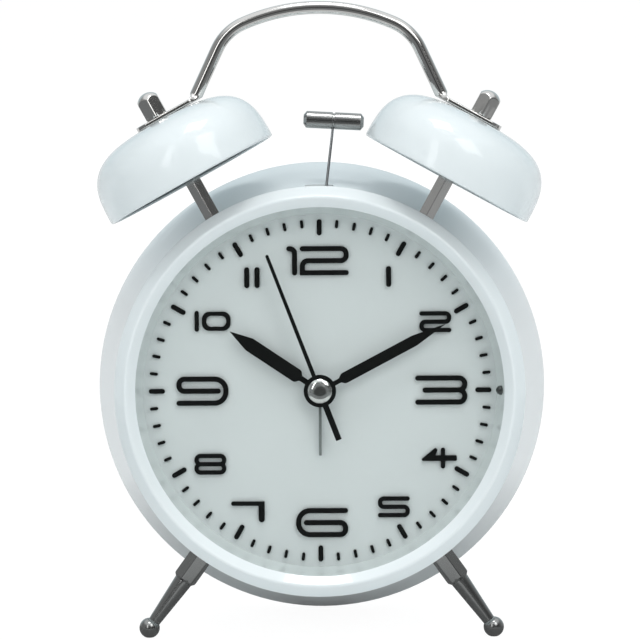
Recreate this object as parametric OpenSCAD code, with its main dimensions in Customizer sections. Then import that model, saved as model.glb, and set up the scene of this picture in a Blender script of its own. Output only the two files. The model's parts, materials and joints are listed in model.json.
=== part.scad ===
// Twin-bell analog alarm clock that stands on two ball feet and on the rear rim of its flared drum.
// Build frame: x to the right, y from the bezel's crest to the rear, z up from the drum's axis.

/* [Case] */
// Radius of the dial opening in the bezel
opening_r = 46.3; // [45:0.1:50]
// Width of the bezel's inner slope
inner_slope = 2.5; // [2.2:0.1:3.5]
// Width of the bezel's outer slope
outer_slope = 2.9; // [2.6:0.1:4]
// Depth of the bezel from its crest to the edge of its skirt
bezel_depth = 6.6; // [6:0.1:7.5]
// Thickness of the bezel's skirt over the drum's front edge
skirt_wall = 1.4; // [1:0.1:1.6]
// Thickness of the crystal lens
lens_t = 1.6; // [1.2:0.1:1.8]
// Depth of the dial's face behind the bezel's crest
dial_depth = 10; // [9.8:0.1:10.8]
// Thickness of the dial plate
dial_t = 1; // [0.8:0.1:1.2]
// How much wider the drum's radius is at its rear than at its front
drum_flare = 8.8; // [7:0.1:9.5]
// Depth of the centre of the drum's rolled rear rim
drum_depth = 46.2; // [44:0.1:50]
// Sheet thickness of the drum
drum_wall = 0.8; // [0.6:0.1:1]
// Radius of the rolled rear rim
rim_roll_r = 1.2; // [1:0.1:1.4]
// Thickness of the rear cover
cover_t = 1.6; // [1.2:0.1:2]

/* [Dial] */
// Gap between the dial opening and the outer ends of the batons
tick_margin = 2.9; // [2.6:0.1:4]
// Length of an hour baton
hour_tick_l = 4.1; // [3:0.1:5]
// Width of an hour baton
hour_tick_w = 1.25; // [0.9:0.05:1.6]
// Length of a minute baton
minute_tick_l = 2.1; // [1.5:0.1:2.8]
// Width of a minute baton
minute_tick_w = 0.8; // [0.5:0.05:1]
// Height of the batons over the dial
tick_h = 0.8; // [0.4:0.1:1.2]
// Width of the large numerals at three, six, nine and twelve
big_w = 13.2; // [11:0.1:14]
// Height of the large numerals
big_h = 7.4; // [6:0.1:8]
// Width of the small numerals
small_w = 8.1; // [7:0.1:8.6]
// Height of the small numerals
small_h = 5.3; // [4.6:0.1:5.8]
// Stroke width of the large numerals
big_stroke = 1.3; // [1:0.05:1.5]
// Stroke width of the small numerals
small_stroke = 1.1; // [0.8:0.05:1.2]
// Height of the numerals over the dial
numeral_h = 1; // [0.6:0.1:1.2]

/* [Hands] */
// Length of the hour hand
hour_hand_l = 27.4; // [24:0.1:30]
// Width of the hour hand
hour_hand_w = 3.5; // [2.5:0.1:4]
// Length of the minute hand
minute_hand_l = 36.1; // [33:0.1:40]
// Width of the minute hand
minute_hand_w = 2.8; // [2:0.1:3.4]
// Length of the second hand
second_hand_l = 36.9; // [33:0.1:41]
// Length of the second hand's tail
second_tail_l = 13.2; // [10:0.1:16]
// Length of the alarm hand
alarm_hand_l = 16.4; // [13:0.1:20]
// Radius of the hour hand's and minute hand's hubs
hub_r = 4.1; // [3.6:0.1:4.6]
// Radius of the second hand's domed cap
cap_r = 3.05; // [2.4:0.05:3.4]
// Thickness of the hands
hand_t = 0.4; // [0.3:0.05:0.5]

/* [Bells] */
// Radius of a bell at its rim
bell_r = 23.4; // [21:0.1:24]
// Height of a bell
bell_h = 17.2; // [15:0.1:20]
// Wall thickness of a bell
bell_wall = 1; // [0.8:0.1:1.4]
// Angle of each bell post from upright
bell_angle = 28.8; // [28:0.1:30.5]
// Distance under the drum's axis at which the axes of the two posts cross
post_drop = 5.2; // [4:0.1:6]
// Forward tilt of the posts, bells and handle
ringing_tilt = 1.7; // [0:0.1:4]
// Distance along the post from the drum's surface to the bell's rim
bell_stand = 10.4; // [9.5:0.1:12]
// Width of the hexagonal bell posts across their flats
post_af = 4; // [3.6:0.1:5]
// Radius of the studs at the ends of the posts and legs
stud_r = 1.5; // [1.2:0.05:1.6]
// Width of the acorn nuts and lock nuts across their flats
nut_af = 5.5; // [5:0.1:6]
// Height of an acorn nut
acorn_h = 6.6; // [6:0.1:7.4]

/* [Handle] */
// Diameter of the handle's rod
rod_d = 3.3; // [2.8:0.1:3.8]
// Height of the handle's top centre line over the flat of the bells
handle_rise = 28.6; // [26.5:0.1:31]
// Radius of the handle's top arch
arch_r = 48; // [42:1:60]
// Radius of the two upper bends
bend_r = 7; // [5:0.1:8]
// Angle of the handle's legs from upright
handle_lean = 25; // [22:0.5:28]
// Thickness of the flattened tabs
tab_t = 1.2; // [1:0.1:1.5]
// Width of the flattened tabs
tab_w = 6; // [5.5:0.1:7]

/* [Legs] */
// Angle of each leg from straight down
leg_angle = 35.9; // [30:0.1:42]
// Width of the leg's hexagonal head across its flats
leg_af = 5.5; // [5:0.1:6]
// Length of the leg's hexagonal head
leg_hex_l = 7.9; // [6:0.1:10]
// Length of the leg's tapered shank
leg_taper_l = 12.9; // [10:0.1:15]
// Diameter of the shank where it leaves the head
leg_top_d = 4.7; // [4.2:0.1:4.9]
// Diameter of the shank at the ball foot
leg_tip_d = 3.1; // [2.6:0.1:3.6]
// Radius of the ball foot
foot_r = 2.6; // [2.2:0.1:3]

/* [Hammer] */
// Height of the hammer's pivot over the drum's axis
pivot_z = 36; // [35:0.1:37]
// Lean of the hammer at rest, towards the right bell
hammer_lean = 6.6; // [5:0.1:7.5]
// Diameter of the hammer's head
head_d = 4.3; // [3.6:0.1:4.8]
// Height of the head's centre over the bells' inner rim corners
head_rise = 3.7; // [3.3:0.1:4.2]
// Diameter of the hammer's wire
wire_d = 0.7; // [0.5:0.05:0.9]

/* [Movement] */
// Tooth module of the motion work and the alarm wheels
motion_m = 0.5; // [0.46:0.01:0.52]
// Tooth module of the going train
train_m = 0.27; // [0.26:0.005:0.28]
// Thickness of the motion work's wheels
wheel_t = 0.8; // [0.6:0.1:1]
// Thickness of the going train's wheels
fine_t = 0.6; // [0.4:0.1:0.7]
// Wall thickness of the movement's housing
shell_t = 1.2; // [1:0.1:1.5]

/* [Controls] */
// Radius of the time setting knob
time_knob_r = 6; // [5:0.1:7]
// Radius of the alarm setting knob
alarm_knob_r = 5; // [4:0.1:6]
// Length of both knobs
knob_l = 7; // [5:0.1:8]
// Radius of the setting arbors
arbor_r = 1.2; // [1:0.05:1.4]
// Radius of the light button
button_r = 4; // [3:0.1:5]
// Travel of the light button
button_travel = 1.5; // [1:0.1:1.8]
// Travel of the alarm switch
switch_travel = 4; // [3:0.1:5]

/* [Hidden] */
$fn = 96;

// Clearances
fit = 0.05;
press = 0.02;
run = 0.06;
seat = 0.03;
slip = 0.2;

// Case
crest_r = opening_r + inner_slope;
bezel_r = crest_r + outer_slope;
crest_round = 0.6;
slope_depth = 3.2;
lip_t = 0.7;
lens_d = 2.9;
lens_r = opening_r + 1.7;
lens_back = lens_d + lens_t;
drum_edge_d = lens_d + 1.1;
drum_front_r = bezel_r - skirt_wall - fit;
drum_rise = drum_flare / (drum_depth - bezel_depth);
function drum_r(d) = drum_front_r + max(0, d - bezel_depth) * drum_rise;
function drum_in(d) = drum_r(d) - drum_wall;
dial_back = dial_depth + dial_t;
dial_r = drum_front_r - drum_wall - slip;
ledge_w = 1.6;
ledge_t = 0.8;
rehaut_slant = 1.8;
rehaut_gap = 0.3;
plane_d = dial_back + 4;
root_r = drum_r(plane_d);
flare_angle = atan(drum_rise);
rim_r = drum_r(drum_depth) - rim_roll_r / cos(flare_angle);
rim_join = acos(1 - drum_wall * cos(flare_angle) / rim_roll_r);

// Rear cover
rear_recess = 0.8;
cover_back = drum_depth - rear_recess;
cover_d = cover_back - cover_t;
cover_r = min(drum_in(cover_d), rim_r - rim_roll_r) - slip;
cover_ledge_w = 2.4;
cover_ledge_t = 1;
screw_r = 1.2;
screw_head_r = 2.2;
screw_head_h = 1.2;
screw_tab_r = 3;
screw_ring_r = cover_r - screw_tab_r - 0.6;
screw_angles = [0, 125, 235];

// Bells, posts and nuts
function post_at(t) = polar(t, 90 - bell_angle) - [0, post_drop];
post_root = post_drop * cos(bell_angle) + sqrt(pow(root_r, 2) - pow(post_drop * sin(bell_angle), 2));
tilt_z = post_at(post_root).y;
bell_rim = post_root + bell_stand;
bell_top = bell_rim + bell_h;
bell_power = 3.3;
bell_steps = 20;
stud_in = 4;
lock_nut_h = 2.4;
acorn_hex_h = 4.5;
stud_out = 3;
rim_corner = post_at(bell_rim) + polar(bell_r, 180 - bell_angle);

// Handle, worked out in its own plane as [x, z]
rod_r = rod_d / 2;
rod_gap = 0.15;
tab_in = 12.2;
tab_out = 6.1;
tab_flat_in = 6.7;
foot_bend_r = 4;
bend_thin = 0.015;
bend_over = 0.3;
rod_level = bell_top + rod_r + rod_gap;
tab_along = polar(1, -bell_angle);
knee = post_at(rod_level) - tab_in * tab_along;
leg_up = polar(1, 90 + handle_lean);
leg_inward = polar(1, 180 + handle_lean);
arch_top = post_at(bell_top).y + handle_rise;
arch_centre = [0, arch_top - arch_r];
bend_from = knee + bend_r * leg_inward - arch_centre;
bend_run = -bend_from * leg_up
    + sqrt(pow(bend_from * leg_up, 2) - bend_from * bend_from + pow(arch_r - bend_r, 2));
bend_centre = arch_centre + bend_from + bend_run * leg_up;
arch_half = atan2(bend_centre.x, bend_centre.y - arch_centre.y);
knee_half = acos(leg_up * tab_along) / 2;
knee_reach = foot_bend_r / tan(knee_half);
knee_centre = knee + foot_bend_r / sin(knee_half) * unit(leg_up + tab_along);

// Legs and stand
foot_flat = 0.25;
leg_shoulder = root_r + leg_hex_l;
leg_end = leg_shoulder + leg_taper_l;
foot_at = leg_end + sqrt(foot_r * foot_r - leg_tip_d * leg_tip_d / 4);
foot_z = -foot_at * cos(leg_angle);
foot_height = foot_r - foot_flat;
stand_run = drum_depth - plane_d;
stand_drop = -rim_r - foot_z;
lean = atan2(stand_drop, stand_run) + asin((foot_height - rim_roll_r) / norm([stand_run, stand_drop]));
stand_z = foot_height + plane_d * sin(lean) - foot_z * cos(lean);
crest_arc = corner([opening_r, lens_d - lip_t], [crest_r, 0], [bezel_r, slope_depth], crest_round);
front_y = min([for (p = crest_arc) p.y * cos(lean) - p.x * sin(lean)]);
rear_y = drum_depth * cos(lean) + rim_r * sin(lean) + rim_roll_r;
stand_y = -(front_y + rear_y) / 2;

// Battery bay
cell_r = 7.25;
cell_l = 49.2;
nub_r = 2.75;
nub_l = 1.3;
cell_pitch = 15;
cell_gap = 0.25;
contact_t = 0.5;
bump_l = 1.3;
bay_wall = 1;
bay_floor = 0.9;
cell_d = cover_d - 0.65 - cell_r;
bay_front = cell_d - cell_r - 0.15;
bay_half = (cell_l + nub_l + bump_l) / 2 + contact_t;
bay_top = -9.5;
bay_bottom = bay_top - 2 * cell_r - cell_pitch - 2 * cell_gap;
upper_cell = bay_top - cell_gap - cell_r;
lower_cell = upper_cell - cell_pitch;
door_gap = 0.25;
flange_w = 2;
flange_t = 1;

// Movement levels, from the dial to the back plate, which share the room in front of the battery bay
plate_t = 0.8;
stator_t = 1;
back_t = 1.2;
movement_screw_h = 0.8;
movement_gap = 0.4;
movement_room = bay_front - bay_floor - movement_gap - movement_screw_h - dial_back;
coil_r = 2.07;
coil_gap = coil_r + seat - stator_t / 2;
gap_unit = (movement_room - shell_t - 3 * wheel_t - plate_t - 4 * fine_t - stator_t - coil_gap - back_t) / 24;
air = 2 * gap_unit;
step = 3 * gap_unit;
pinion_over = gap_unit / 2;
alarm_d = dial_back + shell_t + air;
hour_d = alarm_d + wheel_t + step;
inter_d = hour_d + wheel_t + step;
plate_d = inter_d + wheel_t + step;
centre_d = plate_d + plate_t + air;
third_d = centre_d + fine_t + step;
second_d = third_d + fine_t + step;
fifth_d = second_d + fine_t + step;
stator_d = fifth_d + fine_t + air;
back_d = stator_d + stator_t + coil_gap;
back_end = back_d + back_t;

// Teeth and centres of the train, seen from the front
cannon_z = 12;
inter_z = 36;
inter_pinion_z = 10;
hour_z = 40;
setting_z = 12;
alarm_z = 40;
alarm_pinion_z = 20;
leaf_z = 8;
second_z = 60;
third_z = 60;
centre_z = 64;
fifth_z = 32;
motion_a = (cannon_z + inter_z) * motion_m / 2;
hour_m = 2 * motion_a / (inter_pinion_z + hour_z);
train_a = (leaf_z + third_z) * train_m / 2;
centre_m = 2 * train_a / (leaf_z + centre_z);
inter_turn = 25;
setting_turn = -10;
alarm_turn = 170;
third_turn = 235;
fifth_turn = 310;
rotor_turn = 330;
inter_at = polar(motion_a, inter_turn);
time_at = inter_at + polar((inter_z + setting_z) * motion_m / 2, setting_turn);
alarm_at = polar((alarm_z + alarm_pinion_z) * motion_m / 2, alarm_turn);
third_at = polar(train_a, third_turn);
fifth_at = polar(train_a, fifth_turn);
rotor_at = fifth_at + polar((leaf_z + fifth_z) * train_m / 2, rotor_turn);
inter_phase = mesh_phase(inter_turn, cannon_z, inter_z, inter_turn);
setting_phase = mesh_phase(inter_phase, inter_z, setting_z, setting_turn);
inter_pinion_phase = mesh_phase(inter_turn, hour_z, inter_pinion_z, inter_turn);
alarm_pinion_phase = mesh_phase(alarm_turn, alarm_z, alarm_pinion_z, alarm_turn);
third_phase = mesh_phase(third_turn, leaf_z, third_z, third_turn);
third_pinion_phase = mesh_phase(third_turn, centre_z, leaf_z, third_turn);
fifth_pinion_phase = mesh_phase(fifth_turn, second_z, leaf_z, fifth_turn);
fifth_phase = rotor_turn;
rotor_phase = mesh_phase(fifth_phase, fifth_z, leaf_z, rotor_turn);

// Concentric pipes at the centre
second_arbor_r = 0.5;
minute_pipe_r = 1;
hour_pipe_r = 1.5;
alarm_pipe_r = 2.05;
bush_r = 3.2;
dial_nut_t = 1.2;
dial_nut_af = 7.4;
dial_nut_r = 4;
pivot_r = 0.35;
alarm_hand_d = dial_depth - 1.8;
hour_hand_d = alarm_hand_d - 1.1;
minute_hand_d = hour_hand_d - 1;
second_hand_d = minute_hand_d - 0.8;
cap_h = 0.55;
cap_rise = 0.45;
cap_ball = (cap_r * cap_r + cap_rise * cap_rise) / (2 * cap_rise);
cap_half = asin(cap_r / cap_ball);
alarm_hand_w = 0.7;
second_tip_w = 0.85;
second_root_w = 1.05;
second_tail_w = 1.5;
second_hub_r = 2;
hour_hand_turn = 303.7;
minute_hand_turn = 62.1;
second_hand_turn = 338.9;
alarm_hand_turn = 180;
hour_shoulder = 6;
minute_shoulder = 9.1;
hand_neck = 1.7;
neck_round = 0.4;
hour_neck_w = 1.4;
minute_neck_w = 1.2;
shoulder_run = 0.9;
shoulder_round = 1.2;

// Movement housing, as wide as its wheels need
wall_gap = 0.8;
box_left = alarm_at.x - gear_tip(alarm_pinion_z, motion_m) - wall_gap - shell_t;
box_right = time_at.x + gear_tip(setting_z, motion_m) + wall_gap + shell_t;
box_top = inter_at.y + gear_tip(inter_z, motion_m) + wall_gap + shell_t;
box_bottom = third_at.y - gear_tip(third_z, train_m) - wall_gap - shell_t;
pillar_r = 1.8;
pillar_inset = shell_t + pillar_r + slip / 2;
pillar_hole_r = 0.9;
pillars = [for (x = [box_left + pillar_inset, box_right - pillar_inset])
    for (z = [box_bottom + pillar_inset, box_top - pillar_inset]) [x, z]];

// Stepper motor
rotor_r = 2.1;
rotor_hole_r = 2.6;
stator_left = rotor_at.x - rotor_hole_r - 0.7;
stator_half = 4.8;
core_l = 11.2;
core_w = 2.4;
stator_window = 4.6;
board = [24, 7, 1];

// Striker
lever_t = 1.2;
pin_r = 1;
bracket_d = plane_d + 3;
bracket_t = 1.2;
bracket_w = 20;
bracket_top = pivot_z + 4;
lever_hub_r = 2.6;
motor_r = 7.4;
motor_l = 16;
motor_z = box_top + bracket_t + motor_r + 1.6;
motor_shaft_r = 1;
crank_arm = pivot_z - motor_z;
crank_ratio = 10;
strike_swing = 1.2;
crank_far = (hammer_lean + strike_swing) * crank_ratio;
crank_pitch = tan(hammer_lean + strike_swing);
crank_e = crank_arm * crank_pitch / (sin(crank_far) - cos(crank_far) * crank_pitch);
crank_pin_r = 0.6;
fork_gap = 0.25;
fork_wall = 1.1;
crank_r = crank_e + crank_pin_r + 0.9;
crank_t = 1.2;
crank_rest = hammer_lean * crank_ratio;
head_z = rim_corner.y + head_rise;
head_x = (head_z - pivot_z) * tan(hammer_lean);
head_gap = 0.35;
head_half = rim_corner.x - head_gap - head_x;
head_tilt = 3.2;
head_chamfer = 0.7;
head_groove = 0.25;
hammer_l = norm([head_x, head_z - pivot_z]);
slot_w = 2;
slot_half = (root_r - pivot_z) * tan(hammer_lean + strike_swing) + wire_d + 0.8;

// Rear controls
control_gap = 0.5;
control_x = 15;
control_z = 28;
button_out = 2.4;
switch_l = 5;
switch_w = 3;
switch_out = 2;
flute_depth = 0.35;
flutes = 30;

// Plane geometry
function unit(v) = v / norm(v);
function polar(r, a) = [r * cos(a), r * sin(a)];
function turned(v, a) = [v.x * cos(a) - v.y * sin(a), v.x * sin(a) + v.y * cos(a)];
function inv(a) = tan(a) * 180 / PI - a;

// Arc that rounds corner b, on the way from a to c, to radius r
function corner(a, b, c, r) = let (
    u = unit(a - b),
    w = unit(c - b),
    half = acos(u * w) / 2,
    m = b + unit(u + w) * r / sin(half),
    from = b + u * r / tan(half) - m,
    turn = sign(cross(b - a, c - b)) * (180 - 2 * half)
) [for (i = [0:8]) m + turned(from, turn * i / 8)];
function xy(p) = [p[0], p[1]];
function arc(c, r, a0, a1, steps = 16) = [for (i = [0:steps]) c + polar(r, a0 + (a1 - a0) * i / steps)];
function reversed(points) = [for (i = [len(points) - 1:-1:0]) points[i]];
function upside_down(points) = [for (p = points) [p.x, -p.y]];

// Line through nodes [x, y, radius], with a round corner at each node that has a radius
function rounded(nodes) = [for (i = [0:len(nodes) - 1])
    each i == 0 || i == len(nodes) - 1 || len(nodes[i]) < 3
        ? [xy(nodes[i])]
        : corner(xy(nodes[i - 1]), xy(nodes[i]), xy(nodes[i + 1]), nodes[i][2])];
function side_of(line, i, w) = let (
    last = len(line) - 1,
    before = unit(line[max(i, 1)] - line[max(i, 1) - 1]),
    after = unit(line[min(i, last - 1) + 1] - line[min(i, last - 1)]),
    along = unit(before + after)
) line[i] + [-along.y, along.x] * w / 2 / (along * after);

function round_end(from, end, w) = let (
    side = turned(unit(end - from), 90) * w / 2
) [for (i = [1:7]) end + turned(side, -22.5 * i)];

// Outline of a stroke of width w along a line, with round ends
function ribbon(line, w) = let (last = len(line) - 1) concat(
    [for (i = [0:last]) side_of(line, i, w)],
    round_end(line[last - 1], line[last], w),
    [for (i = [last:-1:0]) side_of(line, i, -w)],
    round_end(line[1], line[0], w));

// Gear teeth with involute flanks, short tips and room for backlash
function gear_tip(z, m) = (z / 2 + 0.85) * m;
function gear_root(z, m) = (z / 2 - 1.2) * m;
function flank(z, m, r) = let (
    base = z * m / 2 * cos(20),
    backlash = 0.12 * m + 0.02
) 90 / z - backlash / (z * m) * 180 / PI + inv(20) - inv(acos(min(1, base / r)));
function gear_points(z, m) = let (
    base = z * m / 2 * cos(20),
    radii = [gear_root(z, m), max(base, gear_root(z, m) + m * 0.3), z * m / 2, gear_tip(z, m)]
) [for (i = [0:z - 1])
    each concat(
        [for (r = radii) polar(r, i * 360 / z - flank(z, m, r))],
        [for (k = [len(radii) - 1:-1:0]) polar(radii[k], i * 360 / z + flank(z, m, radii[k]))])];

// Where a tooth of gear b stands when gear a, with a tooth at angle p, drives it along direction t
function mesh_phase(p, za, zb, t) = t + 180 + 180 / zb - (p - t) * za / zb;

// Placing
module placed() {
    translate([0, stand_y, stand_z]) rotate([-lean, 0, 0]) children();
}
module revolve() {
    rotate([-90, 0, 0]) rotate_extrude() children();
}
module slab(d0, d1) {
    translate([0, d1, 0]) rotate([90, 0, 0]) linear_extrude(d1 - d0) children();
}
module disc(r, d0, d1, at = [0, 0]) {
    slab(d0, d1) translate(at) circle(r);
}
module radial(a) {
    translate([0, plane_d, 0]) rotate([0, a, 0]) children();
}
module tilted() {
    translate([0, plane_d, tilt_z]) rotate([ringing_tilt, 0, 0]) translate([0, -plane_d, -tilt_z]) children();
}
module post_line(side = 1) {
    translate([0, plane_d, -post_drop]) rotate([0, side * bell_angle, 0]) children();
}
module both_sides() {
    children();
    mirror([1, 0, 0]) children();
}
module hex(af) {
    circle(d = af / cos(30), $fn = 6);
}
module plate(x0, x1, z0, z1, d0, d1) {
    translate([x0, d0, z0]) cube([x1 - x0, d1 - d0, z1 - z0]);
}
module gear(z, m, phase, d0, d1, at = [0, 0]) {
    slab(d0, d1) translate(at) rotate(phase) polygon(gear_points(z, m));
}
module stroke(nodes, w) {
    polygon(ribbon(rounded(nodes), w));
}
module loop(w, h, r) {
    translate([-w / 2 + r, -h / 2]) square([w - 2 * r, h]);
    translate([-w / 2, -h / 2 + r]) square([w, h - 2 * r]);
    for (x = [-1, 1], y = [-1, 1]) translate([x * (w / 2 - r), y * (h / 2 - r)]) circle(r);
}
module stadium(l, w) {
    square([l - w, w], center = true);
    for (x = [-1, 1]) translate([x * (l - w) / 2, 0]) circle(d = w);
}

// Room taken by the drum and room inside it, near the plane of the posts and legs
module drum_room(grow) {
    revolve() polygon([
        [0, bezel_depth],
        [drum_r(bezel_depth) + grow, bezel_depth],
        [drum_r(drum_depth) + grow, drum_depth],
        [0, drum_depth]]);
}

// Case
module case_drum() {
    color("whitesmoke") placed() difference() {
        union() {
            revolve() polygon([
                [drum_front_r - drum_wall, drum_edge_d],
                [drum_front_r, drum_edge_d],
                [drum_front_r, bezel_depth],
                each arc([rim_r, drum_depth], rim_roll_r, -flare_angle, 360 - flare_angle - rim_join, 24),
                [drum_front_r - drum_wall, bezel_depth]]);
            drum_ledge(dial_back, ledge_t, dial_r - ledge_w);
            drum_ledge(cover_d - cover_ledge_t, cover_ledge_t, cover_r - cover_ledge_w);
            for (a = screw_angles) intersection() {
                disc(screw_tab_r, cover_d - cover_ledge_t, cover_d, polar(screw_ring_r, 90 - a));
                drum_room(-drum_wall / 2);
            }
        }
        both_sides() tilted() post_line() stud_hole(post_root);
        both_sides() radial(180 - leg_angle) stud_hole(root_r);
        translate([0, plane_d, pivot_z]) linear_extrude(bell_rim - pivot_z) stadium(2 * slot_half, slot_w);
        for (a = screw_angles) disc(screw_r + fit, cover_d - 2, cover_d + 1, polar(screw_ring_r, 90 - a));
    }
}
module drum_ledge(d, t, r) {
    revolve() polygon([
        [r, d],
        [drum_in(d) + drum_wall / 2, d],
        [drum_in(d + t) + drum_wall / 2, d + t],
        [r, d + t]]);
}
module stud_hole(root) {
    translate([0, 0, root - stud_in]) cylinder(r = stud_r + fit, h = 2 * stud_in);
}
module front_bezel() {
    color("white") placed() revolve() polygon(rounded([
        [opening_r, lens_d],
        [opening_r, lens_d - lip_t],
        [crest_r, 0, crest_round],
        [bezel_r, slope_depth, crest_round],
        [bezel_r, bezel_depth],
        [bezel_r - skirt_wall, bezel_depth],
        [bezel_r - skirt_wall, drum_edge_d],
        [lens_r + fit, drum_edge_d],
        [lens_r + fit, lens_d]]));
}
module crystal_lens() {
    color("lightcyan", 0.3) placed() disc(lens_r, lens_d, lens_back);
}
module dial_spacer_ring() {
    color("white") placed() difference() {
        revolve() polygon([
            [opening_r + rehaut_gap, lens_back],
            [dial_r, lens_back],
            [dial_r, dial_depth],
            [opening_r + rehaut_gap - rehaut_slant, dial_depth]]);
        light_body(fit);
    }
}
light_r = 1.2;
light_out = 1;
module light_body(grow) {
    r = light_r + grow;
    l = light_out + dial_r - opening_r;
    translate([opening_r - rehaut_slant / 2 - light_out, (lens_back + dial_depth) / 2, 0])
        rotate([0, 90, 0]) rotate_extrude() polygon(concat(arc([0, r], r, -90, 0, 8), [[r, l], [0, l]]));
}
module dial_light() {
    color("dimgray") placed() light_body(0);
}
module dial_plate() {
    color("gainsboro") placed() difference() {
        disc(dial_r, dial_depth, dial_back);
        disc(bush_r + slip, dial_depth - 1, dial_back + 1);
    }
}

// Raised marks on the dial
tick_r = opening_r - tick_margin;
module tick(l, w) {
    slab(dial_depth - tick_h, dial_depth) translate([0, tick_r - l / 2]) rotate(90) stadium(l, w);
}
module hour_markers() {
    color("black") placed() for (h = [0:11]) rotate([0, h * 30, 0]) tick(hour_tick_l, hour_tick_w);
}
module minute_markers() {
    color("black") placed() for (m = [0:59])
        if (m % 5 != 0) rotate([0, m * 6, 0]) tick(minute_tick_l, minute_tick_w);
}

// Numerals, each drawn about its own centre
module one(h, s) {
    stroke([[0, (s - h) / 2], [0, (h - s) / 2]], s);
}
module flagged_one(h, s, flag) {
    stroke([[-flag, (h - s) / 2], [0, (h - s) / 2, 0.9 * s], [0, (s - h) / 2]], s);
}
module two(w, h, s, square_foot) {
    a = (w - s) / 2;
    b = (h - s) / 2;
    r = 0.45 * b;
    stroke([[-a, b], [a, b, r], [a, 0, r], [-a, 0, r],
        square_foot ? [-a, -b] : [-a, -b, r], [a, -b]], s);
}
module three(w, h, s) {
    b = (h - s) / 2;
    r = b / 2;
    x = (w - s) / 2 - r;
    bar = (s - w) / 2;
    outer = concat(
        arc([bar, b], s / 2, 180, 90, 4),
        arc([x, r], r + s / 2, 90, -asin(r / (r + s / 2))));
    inner = concat(
        arc([bar, b], s / 2, 202.5, 270, 3),
        arc([x, r], r - s / 2, 90, -90),
        arc([bar + 1.4 * s, 0], s / 2, 90, 157.5, 3));
    polygon(concat(outer, reversed(upside_down(outer)), upside_down(inner), reversed(inner)));
}
module four(w, h, s) {
    a = w / 2;
    b = h / 2;
    x0 = a - 3.7 * s;
    x1 = x0 + s;
    half_bar = 0.65 * s;
    polygon(concat(
        [[-a + 0.3 * s, -half_bar], [x0, -half_bar]],
        arc([x0 + s / 2, s / 2 - b], s / 2, 180, 360, 8),
        [[x1, -half_bar]],
        arc([a - half_bar / 2, -half_bar / 2], half_bar / 2, 270, 360, 4),
        arc([a - half_bar / 2, half_bar / 2], half_bar / 2, 0, 90, 4),
        [[x1, half_bar]],
        arc([x0 + s / 2, b - s / 2], s / 2, 0, 180, 8),
        [[x0, half_bar], [-0.9 * s, half_bar]],
        arc([-0.9 * s, b - 0.6 * s], s / 2, 0, 120, 5),
        [[-a, -0.2 * s], [-a + 0.05 * s, -0.5 * s]]));
}
module five(w, h, s) {
    mirror([1, 0]) two(w, h, s, false);
}
module six(w, h, s) {
    a = (w - s) / 2;
    b = (h - s) / 2;
    stroke([[a, b], [-a, b, 0.94 * b], [-a, -b, 0.94 * b], [a, -b, 0.45 * b], [a, 0, 0.45 * b],
        [-a + 1.5 * s, 0]], s);
}
module seven(w, h, s) {
    stem = 1.4 * s;
    polygon(concat(
        arc([(s - w) / 2, (h - s) / 2], s / 2, 270, 90, 8),
        [[w / 2, h / 2]],
        arc([(w - stem) / 2, (stem - h) / 2], stem / 2, 0, -180, 8),
        [[w / 2 - stem, h / 2 - s]]));
}
module eight(w, h, s) {
    lobe = (h + s) / 2;
    for (side = [-1, 1]) translate([0, side * (h - lobe) / 2]) difference() {
        loop(w, lobe, 0.49 * lobe);
        loop(w - 2 * s, lobe - 2 * s, 0.45 * (lobe - 2 * s));
    }
}
module zero(w, h, s) {
    difference() {
        loop(w, h, 0.4 * h);
        loop(w - 2 * s, h - 2 * s, 0.28 * h);
    }
}
module numeral(hour) {
    if (hour == 1) one(small_h, big_stroke);
    if (hour == 2) two(small_w, small_h, small_stroke, false);
    if (hour == 3) three(big_w, big_h, big_stroke);
    if (hour == 4) four(1.1 * small_w, small_h, small_stroke);
    if (hour == 5) five(small_w, small_h, small_stroke);
    if (hour == 6) six(big_w, big_h, big_stroke);
    if (hour == 7) seven(1.05 * small_w, small_h, small_stroke);
    if (hour == 8) eight(small_w, small_h, small_stroke);
    if (hour == 9) rotate(180) six(big_w, big_h, big_stroke);
    if (hour == 10) {
        translate([-0.48 * small_w, 0]) one(small_h, small_stroke);
        translate([0.13 * small_w, 0]) zero(0.9 * small_w, 0.92 * small_h, small_stroke);
    }
    if (hour == 11) for (side = [-1, 1]) translate([side * big_stroke, 0]) one(small_h, big_stroke);
    if (hour == 12) {
        translate([-0.45 * big_w, 0]) flagged_one(big_h, big_stroke, 1.1 * big_stroke);
        translate([0.12 * big_w, 0]) two(0.94 * big_w, big_h, big_stroke, true);
    }
}
// How far inside the ends of the batons each numeral's centre lies, from one to twelve
numeral_inset = [9.7, 9.4, 12.7, 8.7, 8.5, 9.9, 7.6, 9.9, 13.6, 10.9, 10, 10.5];
// Angle of each numeral's centre from the top, clockwise, from one to twelve
numeral_turn = [31.3, 59.4, 90, 119.8, 147.9, 179.4, 211, 236.4, 270, 303, 329.2, 359.4];
module hour_numerals() {
    color("black") placed() for (hour = [1:12])
        slab(dial_depth - numeral_h, dial_depth)
            translate(polar(tick_r - numeral_inset[hour - 1], 90 - numeral_turn[hour - 1]))
                numeral(hour);
}

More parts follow.
